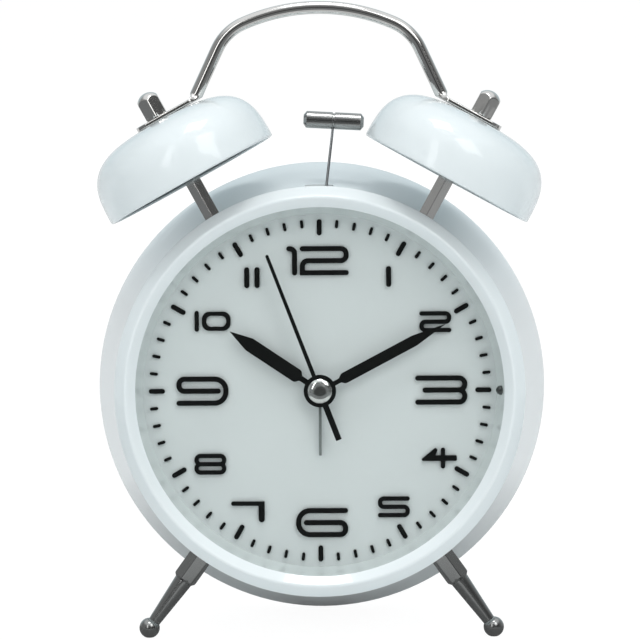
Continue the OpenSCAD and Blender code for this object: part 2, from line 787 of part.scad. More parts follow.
// Bells, posts, nuts and handle
function bell_at(r, h, steps) = [for (i = [0:steps]) let (a = 90 * i / steps)
    [r * pow(cos(a), 2 / bell_power), h * pow(sin(a), 2 / bell_power)]];
module bell_shell() {
    translate([0, 0, bell_rim]) difference() {
        rotate_extrude() polygon(concat([[0, 0]], bell_at(bell_r, bell_h, bell_steps)));
        rotate_extrude() polygon(concat(
            [[0, -1], [bell_r - bell_wall, -1]],
            bell_at(bell_r - bell_wall, bell_h - bell_wall, bell_steps)));
        cylinder(r = stud_r + fit, h = 2 * bell_h);
    }
}
module left_bell() {
    color("white") placed() tilted() post_line(-1) bell_shell();
}
module right_bell() {
    color("white") placed() tilted() post_line() bell_shell();
}
module bell_posts() {
    color("silver") placed() both_sides() {
        difference() {
            tilted() post_line() translate([0, 0, post_root - stud_in])
                linear_extrude(bell_top - bell_wall - seat - post_root + stud_in) rotate(30) hex(post_af);
            drum_room(seat);
        }
        tilted() post_line() translate([0, 0, post_root - stud_in])
            cylinder(r = stud_r, h = bell_top + tab_t + stud_out - post_root + stud_in);
    }
}
module lock_nut(root) {
    difference() {
        translate([0, 0, root - stud_in + 0.4]) linear_extrude(stud_in) hex(nut_af);
        cylinder(r = stud_r + fit, h = root + stud_in);
    }
}
module lock_nuts() {
    both_sides() intersection() {
        children();
        drum_room(-drum_wall - seat);
    }
}
module post_lock_nuts() {
    color("darkgray") placed() lock_nuts() tilted() post_line() lock_nut(post_root);
}
module acorn_nuts() {
    color("silver") placed() both_sides() tilted() post_line() translate([0, 0, bell_top + tab_t])
        difference() {
            union() {
                intersection() {
                    linear_extrude(acorn_hex_h) rotate(30) hex(nut_af);
                    rotate_extrude() polygon([
                        [0, 0],
                        [nut_af / 2, 0],
                        [nut_af / 2 + 0.4, 0.4],
                        [nut_af / 2 + 0.4, acorn_hex_h - 0.4],
                        [nut_af / 2, acorn_hex_h],
                        [0, acorn_hex_h]]);
                }
                intersection() {
                    cylinder(r = nut_af / 2 - 0.2, h = acorn_h);
                    translate([0, 0, acorn_h - nut_af / 2]) sphere(nut_af / 2);
                }
            }
            translate([0, 0, -1]) cylinder(r = stud_r + fit, h = stud_out + 1 + slip);
        }
}
module rod_arc(c, r, a0, a1, thin = 0) {
    translate([c.x, plane_d, c.y]) rotate([90, 0, 0]) rotate([0, 0, a0])
        rotate_extrude(angle = a1 - a0) translate([r, 0]) circle(rod_r - thin);
}
module rod_bend(c, r, a0, a1) {
    over = bend_over / r * 180 / PI;
    rod_arc(c, r, a0 - over, a1 + over, bend_thin);
}
module rod_line(p, q) {
    translate([p.x, plane_d, p.y]) rotate([0, atan2(q.x - p.x, q.y - p.y), 0])
        cylinder(r = rod_r, h = norm(q - p));
}
module handle_half() {
    rod_bend(bend_centre, bend_r, handle_lean, 90 - arch_half);
    rod_line(knee + knee_reach * leg_up, bend_centre - bend_r * leg_inward);
    rod_bend(knee_centre, foot_bend_r, 180 + handle_lean, 270 - bell_angle);
    post_line() difference() {
        union() {
            translate([0, 0, bell_top]) linear_extrude(tab_t) tab_outline();
            hull() {
                translate([-tab_in + knee_reach, 0, rod_level]) rotate([0, 90, 0])
                    cylinder(r = rod_r + bend_thin, h = 2 * bend_over, $fn = 48);
                translate([-tab_flat_in, -tab_w / 2, bell_top]) cube([0.5, tab_w, tab_t]);
            }
        }
        translate([0, 0, bell_rim]) cylinder(r = stud_r + fit, h = 2 * bell_h);
    }
}
module tab_outline() {
    translate([-tab_flat_in, -tab_w / 2]) square([tab_flat_in + tab_out - tab_w / 2, tab_w]);
    translate([tab_out - tab_w / 2, 0]) circle(d = tab_w);
}
module carry_handle() {
    color("silver") placed() tilted() {
        rod_arc(arch_centre, arch_r, 90 - arch_half, 90 + arch_half);
        both_sides() handle_half();
    }
}

// Legs
module leg() {
    difference() {
        radial(180 - leg_angle) intersection() {
            translate([0, 0, root_r - stud_in]) linear_extrude(leg_hex_l + stud_in) rotate(15) hex(leg_af);
            rotate_extrude() polygon([
                [0, root_r - stud_in],
                [leg_af, root_r - stud_in],
                [leg_af, leg_shoulder - leg_af + leg_top_d / 2 + 0.2],
                [leg_top_d / 2 + 0.2, leg_shoulder],
                [0, leg_shoulder]]);
        }
        drum_room(seat);
    }
    radial(180 - leg_angle) {
        translate([0, 0, root_r - stud_in]) cylinder(r = stud_r, h = stud_in + leg_hex_l / 2);
        translate([0, 0, leg_shoulder - 0.5]) cylinder(d = leg_top_d, h = 0.5);
        translate([0, 0, leg_shoulder]) cylinder(d1 = leg_top_d, d2 = leg_tip_d, h = leg_taper_l);
        translate([0, 0, leg_end]) cylinder(d = leg_tip_d, h = foot_at - leg_end);
        translate([0, 0, foot_at]) sphere(foot_r);
    }
}
module floor_cut() {
    translate([-100, -100, -foot_r]) cube([200, 200, foot_r]);
}
module right_leg() {
    color("silver") difference() {
        placed() leg();
        floor_cut();
    }
}
module left_leg() {
    color("silver") mirror([1, 0, 0]) difference() {
        placed() leg();
        floor_cut();
    }
}
module leg_lock_nuts() {
    color("darkgray") placed() lock_nuts() radial(180 - leg_angle) lock_nut(root_r);
}

// Rear cover, battery bay and door
module bay_outline(grow) {
    translate([-bay_half - grow, bay_bottom - grow]) square([2 * (bay_half + grow), bay_top - bay_bottom + 2 * grow]);
}
module rear_cover() {
    color("gainsboro") placed() difference() {
        disc(cover_r, cover_d, cover_back);
        slab(cover_d - 1, cover_back + 1) bay_outline(bay_wall + 2 * door_gap);
        disc(arbor_r + slip, cover_d - 1, cover_back + 1, time_at);
        disc(arbor_r + slip, cover_d - 1, cover_back + 1, alarm_at);
        disc(button_r + fit, cover_d - 1, cover_back + 1, [-control_x, control_z]);
        slab(cover_d - 1, cover_back + 1) translate([control_x, control_z])
            square([switch_l + switch_travel + 2 * fit, switch_w + 2 * fit], center = true);
        for (a = screw_angles) disc(screw_r + fit, cover_d - 1, cover_back + 1, polar(screw_ring_r, 90 - a));
    }
}
module cover_screws() {
    color("silver") placed() for (a = screw_angles) {
        at = polar(screw_ring_r, 90 - a);
        difference() {
            disc(screw_head_r, cover_back, cover_back + screw_head_h, at);
            slab(cover_back + screw_head_h - 0.6, cover_back + screw_head_h + 1) translate(at)
                square([2 * screw_head_r + 1, 0.7], center = true);
        }
        disc(screw_r, cover_d - cover_ledge_t - 2, cover_back, at);
    }
}
module battery_tray() {
    color("dimgray") placed() difference() {
        union() {
            slab(bay_front - bay_floor, cover_d) bay_outline(bay_wall);
            slab(cover_d - flange_t, cover_d) bay_outline(bay_wall + flange_w);
        }
        slab(bay_front, cover_d + 1) bay_outline(0);
    }
}
module cell(z) {
    translate([-(cell_l + nub_l) / 2 + bump_l / 2, cell_d, z]) rotate([0, 90, 0]) {
        cylinder(r = cell_r, h = cell_l);
        cylinder(r = nub_r, h = cell_l + nub_l);
    }
}
module battery_cells() {
    color("darkorange") placed() {
        cell(upper_cell);
        mirror([1, 0, 0]) cell(lower_cell);
    }
}
module contact(side, z0, z1, bump_z) {
    mirror([side, 0, 0]) {
        plate(bay_half - contact_t, bay_half, z0, z1, cell_d - cell_r / 2, cell_d + cell_r / 2);
        translate([bay_half - contact_t - bump_l, cell_d, bump_z]) rotate([0, 90, 0])
            cylinder(r1 = cell_r / 4, r2 = cell_r / 2, h = bump_l);
    }
}
module battery_contacts() {
    half = cell_r - 1;
    color("silver") placed() {
        contact(1, lower_cell - half, upper_cell + half, upper_cell);
        contact(0, lower_cell - half, lower_cell + half, lower_cell);
        plate(bay_half - contact_t, bay_half, upper_cell - half, upper_cell + half,
            cell_d - cell_r / 2, cell_d + cell_r / 2);
    }
}
module battery_door() {
    color("gainsboro") placed() {
        difference() {
            slab(cover_d, cover_back) bay_outline(bay_wall + door_gap);
            slab(cover_back - cover_t / 2, cover_back + 1) translate([0, bay_top - 4]) stadium(14, 4);
        }
        for (i = [0:2]) plate(-6, 6, bay_top - 9 - 1.6 * i, bay_top - 8.2 - 1.6 * i,
            cover_back - 0.2, cover_back + 0.4);
    }
}

// Movement
module box_outline(grow) {
    translate([box_left - grow, box_bottom - grow])
        square([box_right - box_left + 2 * grow, box_top - box_bottom + 2 * grow]);
}
module movement_housing() {
    color("ivory") placed() difference() {
        union() {
            difference() {
                slab(dial_back, back_d) box_outline(0);
                slab(dial_back + shell_t, back_d + 1) box_outline(-shell_t);
            }
            for (p = pillars) disc(pillar_r, dial_back, plate_d, p);
            disc(bush_r, dial_depth - dial_nut_t + 0.1, dial_back + shell_t);
        }
        disc(alarm_pipe_r + run, 0, alarm_d);
        disc(pivot_r * 2 + run, dial_back - 1, hour_d, inter_at);
        for (at = [time_at, alarm_at]) disc(arbor_r + run, dial_back - 1, hour_d, at);
        for (p = pillars) disc(pillar_hole_r, dial_back + 1, plate_d + 1, p);
    }
}
module dial_nut() {
    color("dimgray") placed() difference() {
        intersection() {
            slab(dial_depth - dial_nut_t, dial_depth) hex(dial_nut_af);
            disc(dial_nut_r, 0, dial_back);
        }
        disc(bush_r + fit, -1, dial_back + 1);
    }
}
module train_plate() {
    color("goldenrod") placed() difference() {
        slab(plate_d, plate_d + plate_t) box_outline(-shell_t - slip);
        disc(minute_pipe_r + run, plate_d - 1, plate_d + 2);
        disc(2 * pivot_r + run, plate_d - 1, plate_d + 2, inter_at);
        for (at = [time_at, alarm_at]) disc(arbor_r + run, plate_d - 1, plate_d + 2, at);
        for (at = [third_at, fifth_at, rotor_at]) disc(pivot_r + run, plate_d - 1, plate_d + 2, at);
        for (p = pillars) disc(pillar_hole_r, plate_d - 1, plate_d + 2, p);
    }
}
module movement_back() {
    color("ivory") placed() difference() {
        union() {
            slab(back_d, back_end) box_outline(0);
            for (p = pillars) disc(pillar_r, plate_d + plate_t, back_d, p);
        }
        disc(second_arbor_r + run, back_d - 1, back_end + 1);
        for (at = [time_at, alarm_at]) disc(arbor_r + run, back_d - 1, back_end + 1, at);
        for (at = [third_at, fifth_at, rotor_at]) disc(pivot_r + run, back_d - 1, back_end + 1, at);
        for (p = pillars) disc(pillar_hole_r, plate_d, back_end + 1, p);
    }
}
module movement_screws() {
    color("silver") placed() for (p = pillars) {
        disc(pillar_r - 0.2, back_end, back_end + movement_screw_h, p);
        disc(pillar_hole_r - press, plate_d - 2, back_end, p);
    }
}
module circuit_board() {
    color("seagreen") placed()
        plate(box_left + shell_t + 2 * pillar_r + slip, box_left + shell_t + 2 * pillar_r + slip + board.x,
            box_top - shell_t - slip - board.y, box_top - shell_t - slip, back_d - board.z, back_d);
}
module stepper_stator() {
    color("gray") placed() difference() {
        slab(stator_d, stator_d + stator_t) {
            translate([stator_left, rotor_at.y - stator_half])
                square([core_l + rotor_hole_r, 2 * stator_half]);
        }
        disc(rotor_hole_r, stator_d - 1, stator_d + 2, rotor_at);
        slab(stator_d - 1, stator_d + 2)
            translate([stator_left + core_l + rotor_hole_r - core_w - stator_window / 2, rotor_at.y])
                square([stator_window, 2 * (stator_half - 1.4)], center = true);
    }
}
module stepper_coil() {
    at = stator_left + core_l + rotor_hole_r - core_w / 2;
    color("chocolate") placed() difference() {
        translate([at, stator_d + stator_t / 2, rotor_at.y - stator_half + 1.5])
            cylinder(r = coil_r, h = 2 * (stator_half - 1.5));
        plate(at - core_w / 2 - press, at + core_w / 2 + press, rotor_at.y - stator_half,
            rotor_at.y + stator_half, stator_d - press, stator_d + stator_t + press);
    }
}
module stepper_rotor() {
    color("slategray") placed() {
        disc(pivot_r, plate_d + 0.1, back_end - 0.1, rotor_at);
        gear(leaf_z, train_m, rotor_phase, fifth_d - pinion_over, fifth_d + fine_t + pinion_over, rotor_at);
        disc(rotor_r, stator_d - pinion_over, stator_d + stator_t + pinion_over, rotor_at);
    }
}
module fifth_wheel() {
    color("khaki") placed() {
        disc(pivot_r, plate_d + 0.1, back_end - 0.1, fifth_at);
        gear(leaf_z, train_m, fifth_pinion_phase, second_d - pinion_over, fifth_d, fifth_at);
        gear(fifth_z, train_m, fifth_phase, fifth_d, fifth_d + fine_t, fifth_at);
    }
}
module second_arbor() {
    color("khaki") placed() {
        disc(second_arbor_r, second_hand_d - cap_h / 2, back_end - 0.1);
        gear(leaf_z, train_m, third_turn, third_d - pinion_over, second_d);
        gear(second_z, train_m, fifth_turn, second_d, second_d + fine_t);
    }
}
module third_wheel() {
    color("khaki") placed() {
        disc(pivot_r, plate_d + 0.1, back_end - 0.1, third_at);
        gear(leaf_z, centre_m, third_pinion_phase, centre_d - pinion_over, third_d, third_at);
        gear(third_z, train_m, third_phase, third_d, third_d + fine_t, third_at);
    }
}
module centre_wheel() {
    color("khaki") placed() difference() {
        gear(centre_z, centre_m, third_turn, centre_d, centre_d + fine_t);
        disc(minute_pipe_r + run, centre_d - 1, centre_d + 2);
    }
}
module pipe(outer, inner, d0, d1) {
    slab(d0, d1) difference() {
        circle(outer);
        circle(inner);
    }
}
module cannon_pinion() {
    color("khaki") placed() difference() {
        union() {
            disc(minute_pipe_r, minute_hand_d - 0.1, centre_d + fine_t + 0.1);
            gear(cannon_z, motion_m, inter_turn, inter_d - pinion_over, inter_d + wheel_t + pinion_over);
        }
        disc(second_arbor_r + run, 0, back_end);
    }
}
module intermediate_wheel() {
    color("khaki") placed() {
        disc(2 * pivot_r, dial_back + 0.2, plate_d + plate_t - 0.1, inter_at);
        gear(inter_pinion_z, hour_m, inter_pinion_phase, hour_d - pinion_over, inter_d, inter_at);
        gear(inter_z, motion_m, inter_phase, inter_d, inter_d + wheel_t, inter_at);
    }
}
module hour_wheel() {
    color("khaki") placed() difference() {
        union() {
            disc(hour_pipe_r, hour_hand_d - 0.1, hour_d + wheel_t);
            gear(hour_z, hour_m, inter_turn, hour_d, hour_d + wheel_t);
        }
        disc(minute_pipe_r + run, 0, back_end);
    }
}
module alarm_wheel() {
    color("khaki") placed() difference() {
        union() {
            disc(alarm_pipe_r, alarm_hand_d - 0.1, alarm_d + wheel_t);
            gear(alarm_z, motion_m, alarm_turn, alarm_d, alarm_d + wheel_t);
        }
        disc(hour_pipe_r + run, 0, back_end);
    }
}
module setting_arbor(at) {
    disc(arbor_r, dial_back + 0.3, cover_back + control_gap + knob_l - 1, at);
}
module time_setting_pinion() {
    color("khaki") placed() {
        setting_arbor(time_at);
        gear(setting_z, motion_m, setting_phase, inter_d - pinion_over, inter_d + wheel_t + pinion_over, time_at);
    }
}
module alarm_setting_pinion() {
    color("khaki") placed() {
        setting_arbor(alarm_at);
        gear(alarm_pinion_z, motion_m, alarm_pinion_phase, alarm_d - pinion_over, alarm_d + wheel_t + pinion_over,
            alarm_at);
    }
}

// Hands
module hand_place(turn, d0) {
    rotate([0, turn, 0]) slab(d0, d0 + hand_t) children();
}
module baton_hand(l, w, taper, neck_w) {
    half = asin(neck_w / 2 / hub_r);
    side = rounded([
        [neck_w / 2, hub_r],
        [neck_w / 2, hub_r + hand_neck, neck_round],
        [w / 2, hub_r + hand_neck + shoulder_run, shoulder_round],
        [w / 2, l - taper],
        [0, l]]);
    polygon(concat(
        arc([0, 0], hub_r, 90 + half, 450 - half, 64),
        side,
        [for (i = [len(side) - 2:-1:0]) [-side[i].x, side[i].y]]));
}
module hour_hand() {
    color("black") placed() difference() {
        hand_place(hour_hand_turn, hour_hand_d) baton_hand(hour_hand_l, hour_hand_w, hour_shoulder, hour_neck_w);
        disc(hour_pipe_r + press, 0, dial_depth);
    }
}
module minute_hand() {
    color("black") placed() difference() {
        hand_place(minute_hand_turn, minute_hand_d)
            baton_hand(minute_hand_l, minute_hand_w, minute_shoulder, minute_neck_w);
        disc(minute_pipe_r + press, 0, dial_depth);
    }
}
module second_hand() {
    color("black") placed() difference() {
        hand_place(second_hand_turn, second_hand_d) {
            half = concat(
                [[second_tail_w / 2, -second_tail_l]],
                arc([0, 0], second_hub_r, asin(second_tail_w / 2 / second_hub_r) - 90,
                    90 - asin(second_root_w / 2 / second_hub_r), 32),
                arc([0, second_hand_l - second_tip_w / 2], second_tip_w / 2, 0, 75, 5));
            polygon(concat(half, [for (p = reversed(half)) [-p.x, p.y]]));
        }
        disc(second_arbor_r + press, 0, dial_depth);
    }
}
module second_cap() {
    color("silver") placed() difference() {
        translate([0, second_hand_d, 0]) rotate([90, 0, 0]) rotate_extrude()
            polygon(concat([[0, 0], [cap_r, 0]], arc([0, cap_h - cap_ball], cap_ball, 90 - cap_half, 90)));
        disc(second_arbor_r + press, second_hand_d - cap_h / 2 - press, dial_depth);
    }
}
module alarm_hand() {
    color("gray") placed() difference() {
        hand_place(alarm_hand_turn, alarm_hand_d) {
            translate([-alarm_hand_w / 2, 0]) square([alarm_hand_w, alarm_hand_l]);
            circle(alarm_pipe_r + 1);
        }
        disc(alarm_pipe_r + press, 0, dial_depth);
    }
}

// Rear controls
module knob(at, r) {
    difference() {
        slab(cover_back + control_gap, cover_back + control_gap + knob_l) translate(at)
            polygon([for (i = [0:2 * flutes - 1]) polar(r - (i % 2) * flute_depth, i * 180 / flutes)]);
        disc(arbor_r + press, cover_back, cover_back + control_gap + knob_l - 1 + press, at);
        disc(0.6 * r, cover_back + control_gap + knob_l - 0.5, cover_back + knob_l + 2, at);
    }
}
module time_knob() {
    color("dimgray") placed() knob(time_at, time_knob_r);
}
module alarm_knob() {
    color("dimgray") placed() knob(alarm_at, alarm_knob_r);
}
module light_button() {
    color("dimgray") placed() {
        disc(button_r, cover_d, cover_back + button_out, [-control_x, control_z]);
        disc(button_r + 1, cover_d - 1, cover_d, [-control_x, control_z]);
    }
}
module alarm_switch() {
    x = control_x - switch_travel / 2;
    color("dimgray") placed() {
        plate(x - switch_l / 2, x + switch_l / 2, control_z - switch_w / 2, control_z + switch_w / 2,
            cover_d, cover_back + switch_out);
        plate(x - switch_l / 2 - switch_travel - 1, x + switch_l / 2 + switch_travel + 1,
            control_z - switch_w, control_z + switch_w, cover_d - 1, cover_d);
    }
}

// Striker
module striker_bracket() {
    color("lightgray") placed() difference() {
        union() {
            plate(-bracket_w / 2, bracket_w / 2, box_top, bracket_top, bracket_d, bracket_d + bracket_t);
            plate(-bracket_w / 2, bracket_w / 2, box_top, box_top + bracket_t, plane_d - 1, bracket_d + bracket_t);
        }
        disc(pin_r + fit, bracket_d - 1, bracket_d + 2, [0, pivot_z]);
        disc(motor_shaft_r + slip, bracket_d - 1, bracket_d + 2, [0, motor_z]);
    }
}
module hammer_pivot_pin() {
    color("silver") placed() {
        disc(pin_r, plane_d - lever_t / 2 - 0.3, bracket_d + bracket_t, [0, pivot_z]);
        disc(pin_r + 0.8, plane_d - lever_t / 2 - 0.9, plane_d - lever_t / 2 - 0.3, [0, pivot_z]);
    }
}
module striker_motor() {
    color("silver") placed() {
        disc(motor_r, bracket_d + bracket_t, bracket_d + bracket_t + motor_l, [0, motor_z]);
        disc(motor_shaft_r, plane_d + lever_t / 2 + 0.4, bracket_d + bracket_t, [0, motor_z]);
    }
}
module striker_crank() {
    pin = [0, motor_z] + polar(crank_e, 270 - crank_rest);
    color("white") placed() difference() {
        union() {
            disc(crank_r, plane_d + lever_t / 2 + 0.3, plane_d + lever_t / 2 + 0.3 + crank_t, [0, motor_z]);
            disc(crank_pin_r, plane_d - lever_t / 2 - 0.3, plane_d + lever_t / 2 + 0.4, pin);
        }
        disc(motor_shaft_r + run, plane_d + lever_t / 2 + 0.35, bracket_d, [0, motor_z]);
    }
}
module hammer_frame() {
    translate([0, 0, pivot_z]) rotate([0, hammer_lean, 0]) children();
}
module hammer_lever() {
    tail = crank_arm + crank_e + crank_pin_r + 1.2;
    slot = 2 * (crank_pin_r + fork_gap);
    color("gray") placed() hammer_frame() difference() {
        slab(plane_d - lever_t / 2, plane_d + lever_t / 2) {
            circle(lever_hub_r);
            translate([-1.3, 0]) square([2.6, lever_hub_r + 3]);
            translate([-slot / 2 - fork_wall, -tail]) square([slot + 2 * fork_wall, tail]);
        }
        disc(pin_r + run, 0, bracket_d);
        slab(0, bracket_d) translate([-slot / 2, -tail - 1])
            square([slot, tail + 1 - crank_arm + crank_e + crank_pin_r + 0.6]);
        translate([0, plane_d, lever_hub_r]) cylinder(d = wire_d + 2 * press, h = 5);
    }
}
module hammer_wire() {
    color("dimgray") placed() hammer_frame() translate([0, plane_d, lever_hub_r])
        cylinder(d = wire_d, h = hammer_l - lever_hub_r);
}
module hammer_head() {
    color("silver") placed() difference() {
        hammer_frame() {
            translate([0, plane_d, hammer_l]) rotate([0, 90 - hammer_lean + head_tilt, 0])
                translate([0, 0, -head_half]) rotate_extrude() polygon([
                    [0, 0],
                    [head_d / 2 - head_chamfer, 0],
                    [head_d / 2, head_chamfer],
                    [head_d / 2, head_half - head_groove],
                    [head_d / 2 - head_groove, head_half],
                    [head_d / 2, head_half + head_groove],
                    [head_d / 2, 2 * head_half - head_chamfer],
                    [head_d / 2 - head_chamfer, 2 * head_half],
                    [0, 2 * head_half]]);
            translate([0, plane_d, hammer_l - head_d / 2 - 1.2]) cylinder(r1 = wire_d, r2 = 1.1, h = 1.6);
        }
        hammer_frame() translate([0, plane_d, 0]) cylinder(d = wire_d + 2 * press, h = hammer_l + press);
    }
}

case_drum();
front_bezel();
crystal_lens();
dial_spacer_ring();
dial_light();
dial_plate();
hour_markers();
minute_markers();
hour_numerals();
left_bell();
right_bell();
bell_posts();
post_lock_nuts();
acorn_nuts();
carry_handle();
left_leg();
right_leg();
leg_lock_nuts();
rear_cover();
cover_screws();
battery_tray();
battery_cells();
battery_contacts();
battery_door();
movement_housing();
dial_nut();
train_plate();
movement_back();
movement_screws();
circuit_board();
stepper_stator();
stepper_coil();
stepper_rotor();
fifth_wheel();
second_arbor();
third_wheel();
centre_wheel();
cannon_pinion();
intermediate_wheel();
hour_wheel();
alarm_wheel();
time_setting_pinion();
alarm_setting_pinion();
hour_hand();
minute_hand();
second_hand();
second_cap();
alarm_hand();
time_knob();
alarm_knob();
light_button();
alarm_switch();
striker_bracket();
hammer_pivot_pin();
striker_motor();
striker_crank();
hammer_lever();
hammer_wire();
hammer_head();
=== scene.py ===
"""Dressed model of a twin-bell alarm clock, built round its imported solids.

Sizes are millimetres in the drum's own frame: x to the right, d from the bezel's crest to
the rear, z up from the drum's axis. Axes.place turns them into the shared frame in metres.
"""

from __future__ import annotations

import json
import logging
from collections.abc import Sequence
from dataclasses import dataclass, field
from enum import Enum
from typing import Any

import bmesh
import bpy
import numpy as np
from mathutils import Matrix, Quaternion, Vector


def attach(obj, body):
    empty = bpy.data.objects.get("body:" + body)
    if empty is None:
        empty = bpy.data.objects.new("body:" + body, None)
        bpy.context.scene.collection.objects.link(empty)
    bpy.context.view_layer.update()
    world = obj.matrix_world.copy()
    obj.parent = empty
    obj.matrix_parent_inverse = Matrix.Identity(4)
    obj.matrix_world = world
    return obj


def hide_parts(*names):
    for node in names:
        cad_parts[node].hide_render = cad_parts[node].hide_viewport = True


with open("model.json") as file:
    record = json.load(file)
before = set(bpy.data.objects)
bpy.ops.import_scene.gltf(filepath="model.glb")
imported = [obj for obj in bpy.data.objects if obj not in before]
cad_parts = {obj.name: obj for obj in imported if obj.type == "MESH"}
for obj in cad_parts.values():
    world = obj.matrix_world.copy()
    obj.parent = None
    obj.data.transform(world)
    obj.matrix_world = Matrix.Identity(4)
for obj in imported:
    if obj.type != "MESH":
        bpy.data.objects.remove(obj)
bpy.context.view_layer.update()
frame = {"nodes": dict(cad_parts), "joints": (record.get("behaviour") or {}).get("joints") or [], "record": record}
LOG = logging.getLogger("alarm_clock")
MM = 0.001
TAU = 2.0 * np.pi

Array = np.ndarray
Triple = tuple[float, float, float]
Colour = Triple
Pairs = tuple[tuple[float, float], ...]
Ramp = tuple[tuple[float, Colour], ...]


class Side(Enum):
    """Side of the clock, seen from the front, with the sign of x on it."""

    LEFT = -1
    RIGHT = 1


# Placing


@dataclass(frozen=True)
class Axes:
    """Three directions at a point: u and v lie across the turning axis w."""

    origin: Array
    u: Array
    v: Array
    w: Array

    def place(self, x: Array, y: Array, z: Array) -> Array:
        """Points origin + x u + y v + z w of the shared frame, in metres."""
        x, y, z = np.broadcast_arrays(x, y, z)
        spread = x[..., None] * self.u + y[..., None] * self.v + z[..., None] * self.w
        return MM * (self.origin + spread)

    def moved(self, x: float, y: float, z: float) -> Axes:
        """The same directions at another point."""
        return Axes(self.origin + x * self.u + y * self.v + z * self.w, self.u, self.v, self.w)


@dataclass(frozen=True)
class Stand:
    """How the clock leans on its feet and rear rim, read from the joint of the minute hand."""

    plane_d: float = 15.0
    tilt: float = 1.7
    tilt_z: float = 44.4105

    def joint(self) -> dict[str, Any]:
        """The joint on the drum's axis."""
        return next(j for j in frame["joints"] if j["name"] == "minute_turn")

    @property
    def rear(self) -> Array:
        """Direction of the drum's axis, from front to rear."""
        return np.array(self.joint()["axis"], float)

    @property
    def up(self) -> Array:
        """Direction at right angles to the drum's axis, in the clock's middle plane."""
        return np.array([0.0, -self.rear[2], self.rear[1]])

    @property
    def right(self) -> Array:
        """Direction from the drum's axis to three o'clock."""
        return np.array([1.0, 0.0, 0.0])

    def drum(self) -> Axes:
        """Axes for pieces turned about the drum's axis, with w to the rear."""
        crest = np.array(self.joint()["pos_m"], float) / MM - self.plane_d * self.rear
        return Axes(crest, self.right, self.up, self.rear)

    def spoke(self, turn: float, tilt: float = 0.0, drop: float = 0.0) -> Axes:
        """Axes for a post or leg.

        Args:
            turn: Angle of the post from upright, clockwise from the front, in degrees.
            tilt: Forward lean about the level line at the posts' feet, in degrees.
            drop: Distance of the origin under the drum's axis.

        Returns:
            Axes in the plane of the posts, with w outwards along the post and v to the rear.
        """
        a, f = np.radians(turn), np.radians(tilt)
        up = np.cos(f) * self.up - np.sin(f) * self.rear
        rear = np.cos(f) * self.rear + np.sin(f) * self.up
        hinge = self.drum().moved(0.0, self.tilt_z, self.plane_d).origin
        across = np.cos(a) * self.right - np.sin(a) * up
        out = np.sin(a) * self.right + np.cos(a) * up
        return Axes(hinge - (self.tilt_z + drop) * up, across, rear, out)

    def ringing(self, turn: float, drop: float = 0.0) -> Axes:
        """Axes for a post of the ringing gear, whose plane is tilted."""
        return self.spoke(turn, self.tilt, drop)


STAND = Stand()


# Surfaces


def unit(v: Array) -> Array:
    """Vectors of length one along v."""
    return v / np.linalg.norm(v, axis=-1, keepdims=True)


def smooth(a: float, b: float, x: Array) -> Array:
    """Cubic step 3t^2 - 2t^3, with t going from 0 at a to 1 at b."""
    t = np.clip((x - a) / (b - a), 0.0, 1.0)
    return t * t * (3.0 - 2.0 * t)


def rounded(corners: Sequence[Sequence[float]], steps: int = 7) -> Array:
    """Closed outline with round corners.

    An arc's centre lies on the bisector of its corner, at radius / sin(half the corner's
    angle), and the arc runs from one tangent point to the other.

    Args:
        corners: Rows of x, y and corner radius.
        steps: Points on each arc.

    Returns:
        Points of the outline, in order.
    """
    table = np.asarray(corners, float)
    p, r = table[:, :2], table[:, 2]
    before, after = unit(np.roll(p, 1, 0) - p), unit(np.roll(p, -1, 0) - p)
    half = 0.5 * np.arccos(np.clip(np.sum(before * after, -1), -1.0, 1.0))
    reach = (r / np.tan(half))[:, None]
    centre = p + unit(before + after) * (r / np.sin(half))[:, None]
    start, end = p + before * reach - centre, p + after * reach - centre
    first = np.arctan2(start[:, 1], start[:, 0])
    turn = (np.arctan2(end[:, 1], end[:, 0]) - first + np.pi) % TAU - np.pi
    a = first[:, None] + turn[:, None] * np.linspace(0.0, 1.0, steps)
    arcs = centre[:, None] + r[:, None, None] * np.stack([np.cos(a), np.sin(a)], -1)
    return arcs.reshape(-1, 2)


def arc(centre: Array, radius: float, start: float, end: float, steps: int) -> Array:
    """Points centre + radius (cos a, sin a), with a going from start to end in degrees."""
    a = np.radians(np.linspace(start, end, steps))
    return np.asarray(centre) + radius * np.stack([np.cos(a), np.sin(a)], -1)


def even(path: Array, spacing: float) -> Array:
    """The same line with points at even steps of its length, no further apart than spacing."""
    length = np.concatenate([[0.0], np.cumsum(np.linalg.norm(np.diff(path, axis=0), axis=1))])
    at = np.linspace(0.0, length[-1], int(np.ceil(length[-1] / spacing)) + 1)
    return np.stack([np.interp(at, length, path[:, k]) for k in range(path.shape[1])], -1)


@dataclass
class Patch:
    """A grid of points in metres and whether it closes along its rows and columns."""

    points: Array
    closed_rows: bool = False
    closed_columns: bool = False

    def quads(self, first: int) -> Array:
        """Corner numbers of the grid's cells, counted from first."""
        rows, columns = self.points.shape[:2]
        i = np.arange(rows - (not self.closed_rows))[:, None] * columns
        j = np.arange(columns - (not self.closed_columns))[None, :]
        below, beside = (i + columns) % (rows * columns), (j + 1) % columns
        corners = np.broadcast_arrays(i + j, i + beside, below + beside, below + j)
        return first + np.stack(corners, -1).reshape(-1, 4)


def swung(axes: Axes, radius: Array, height: Array, angle: Array) -> Patch:
    """Grid of points at radius and angle round w and at height along it, closed both ways."""
    return Patch(axes.place(radius * np.cos(angle), radius * np.sin(angle), height), True, True)


def turned(axes: Axes, profile: Array, count: int = 192) -> Patch:
    """Surface of revolution: the profile's radius swings round w, its height goes along w."""
    a = np.linspace(0.0, TAU, count, endpoint=False)
    return swung(axes, profile[:, :1], profile[:, 1:], a)


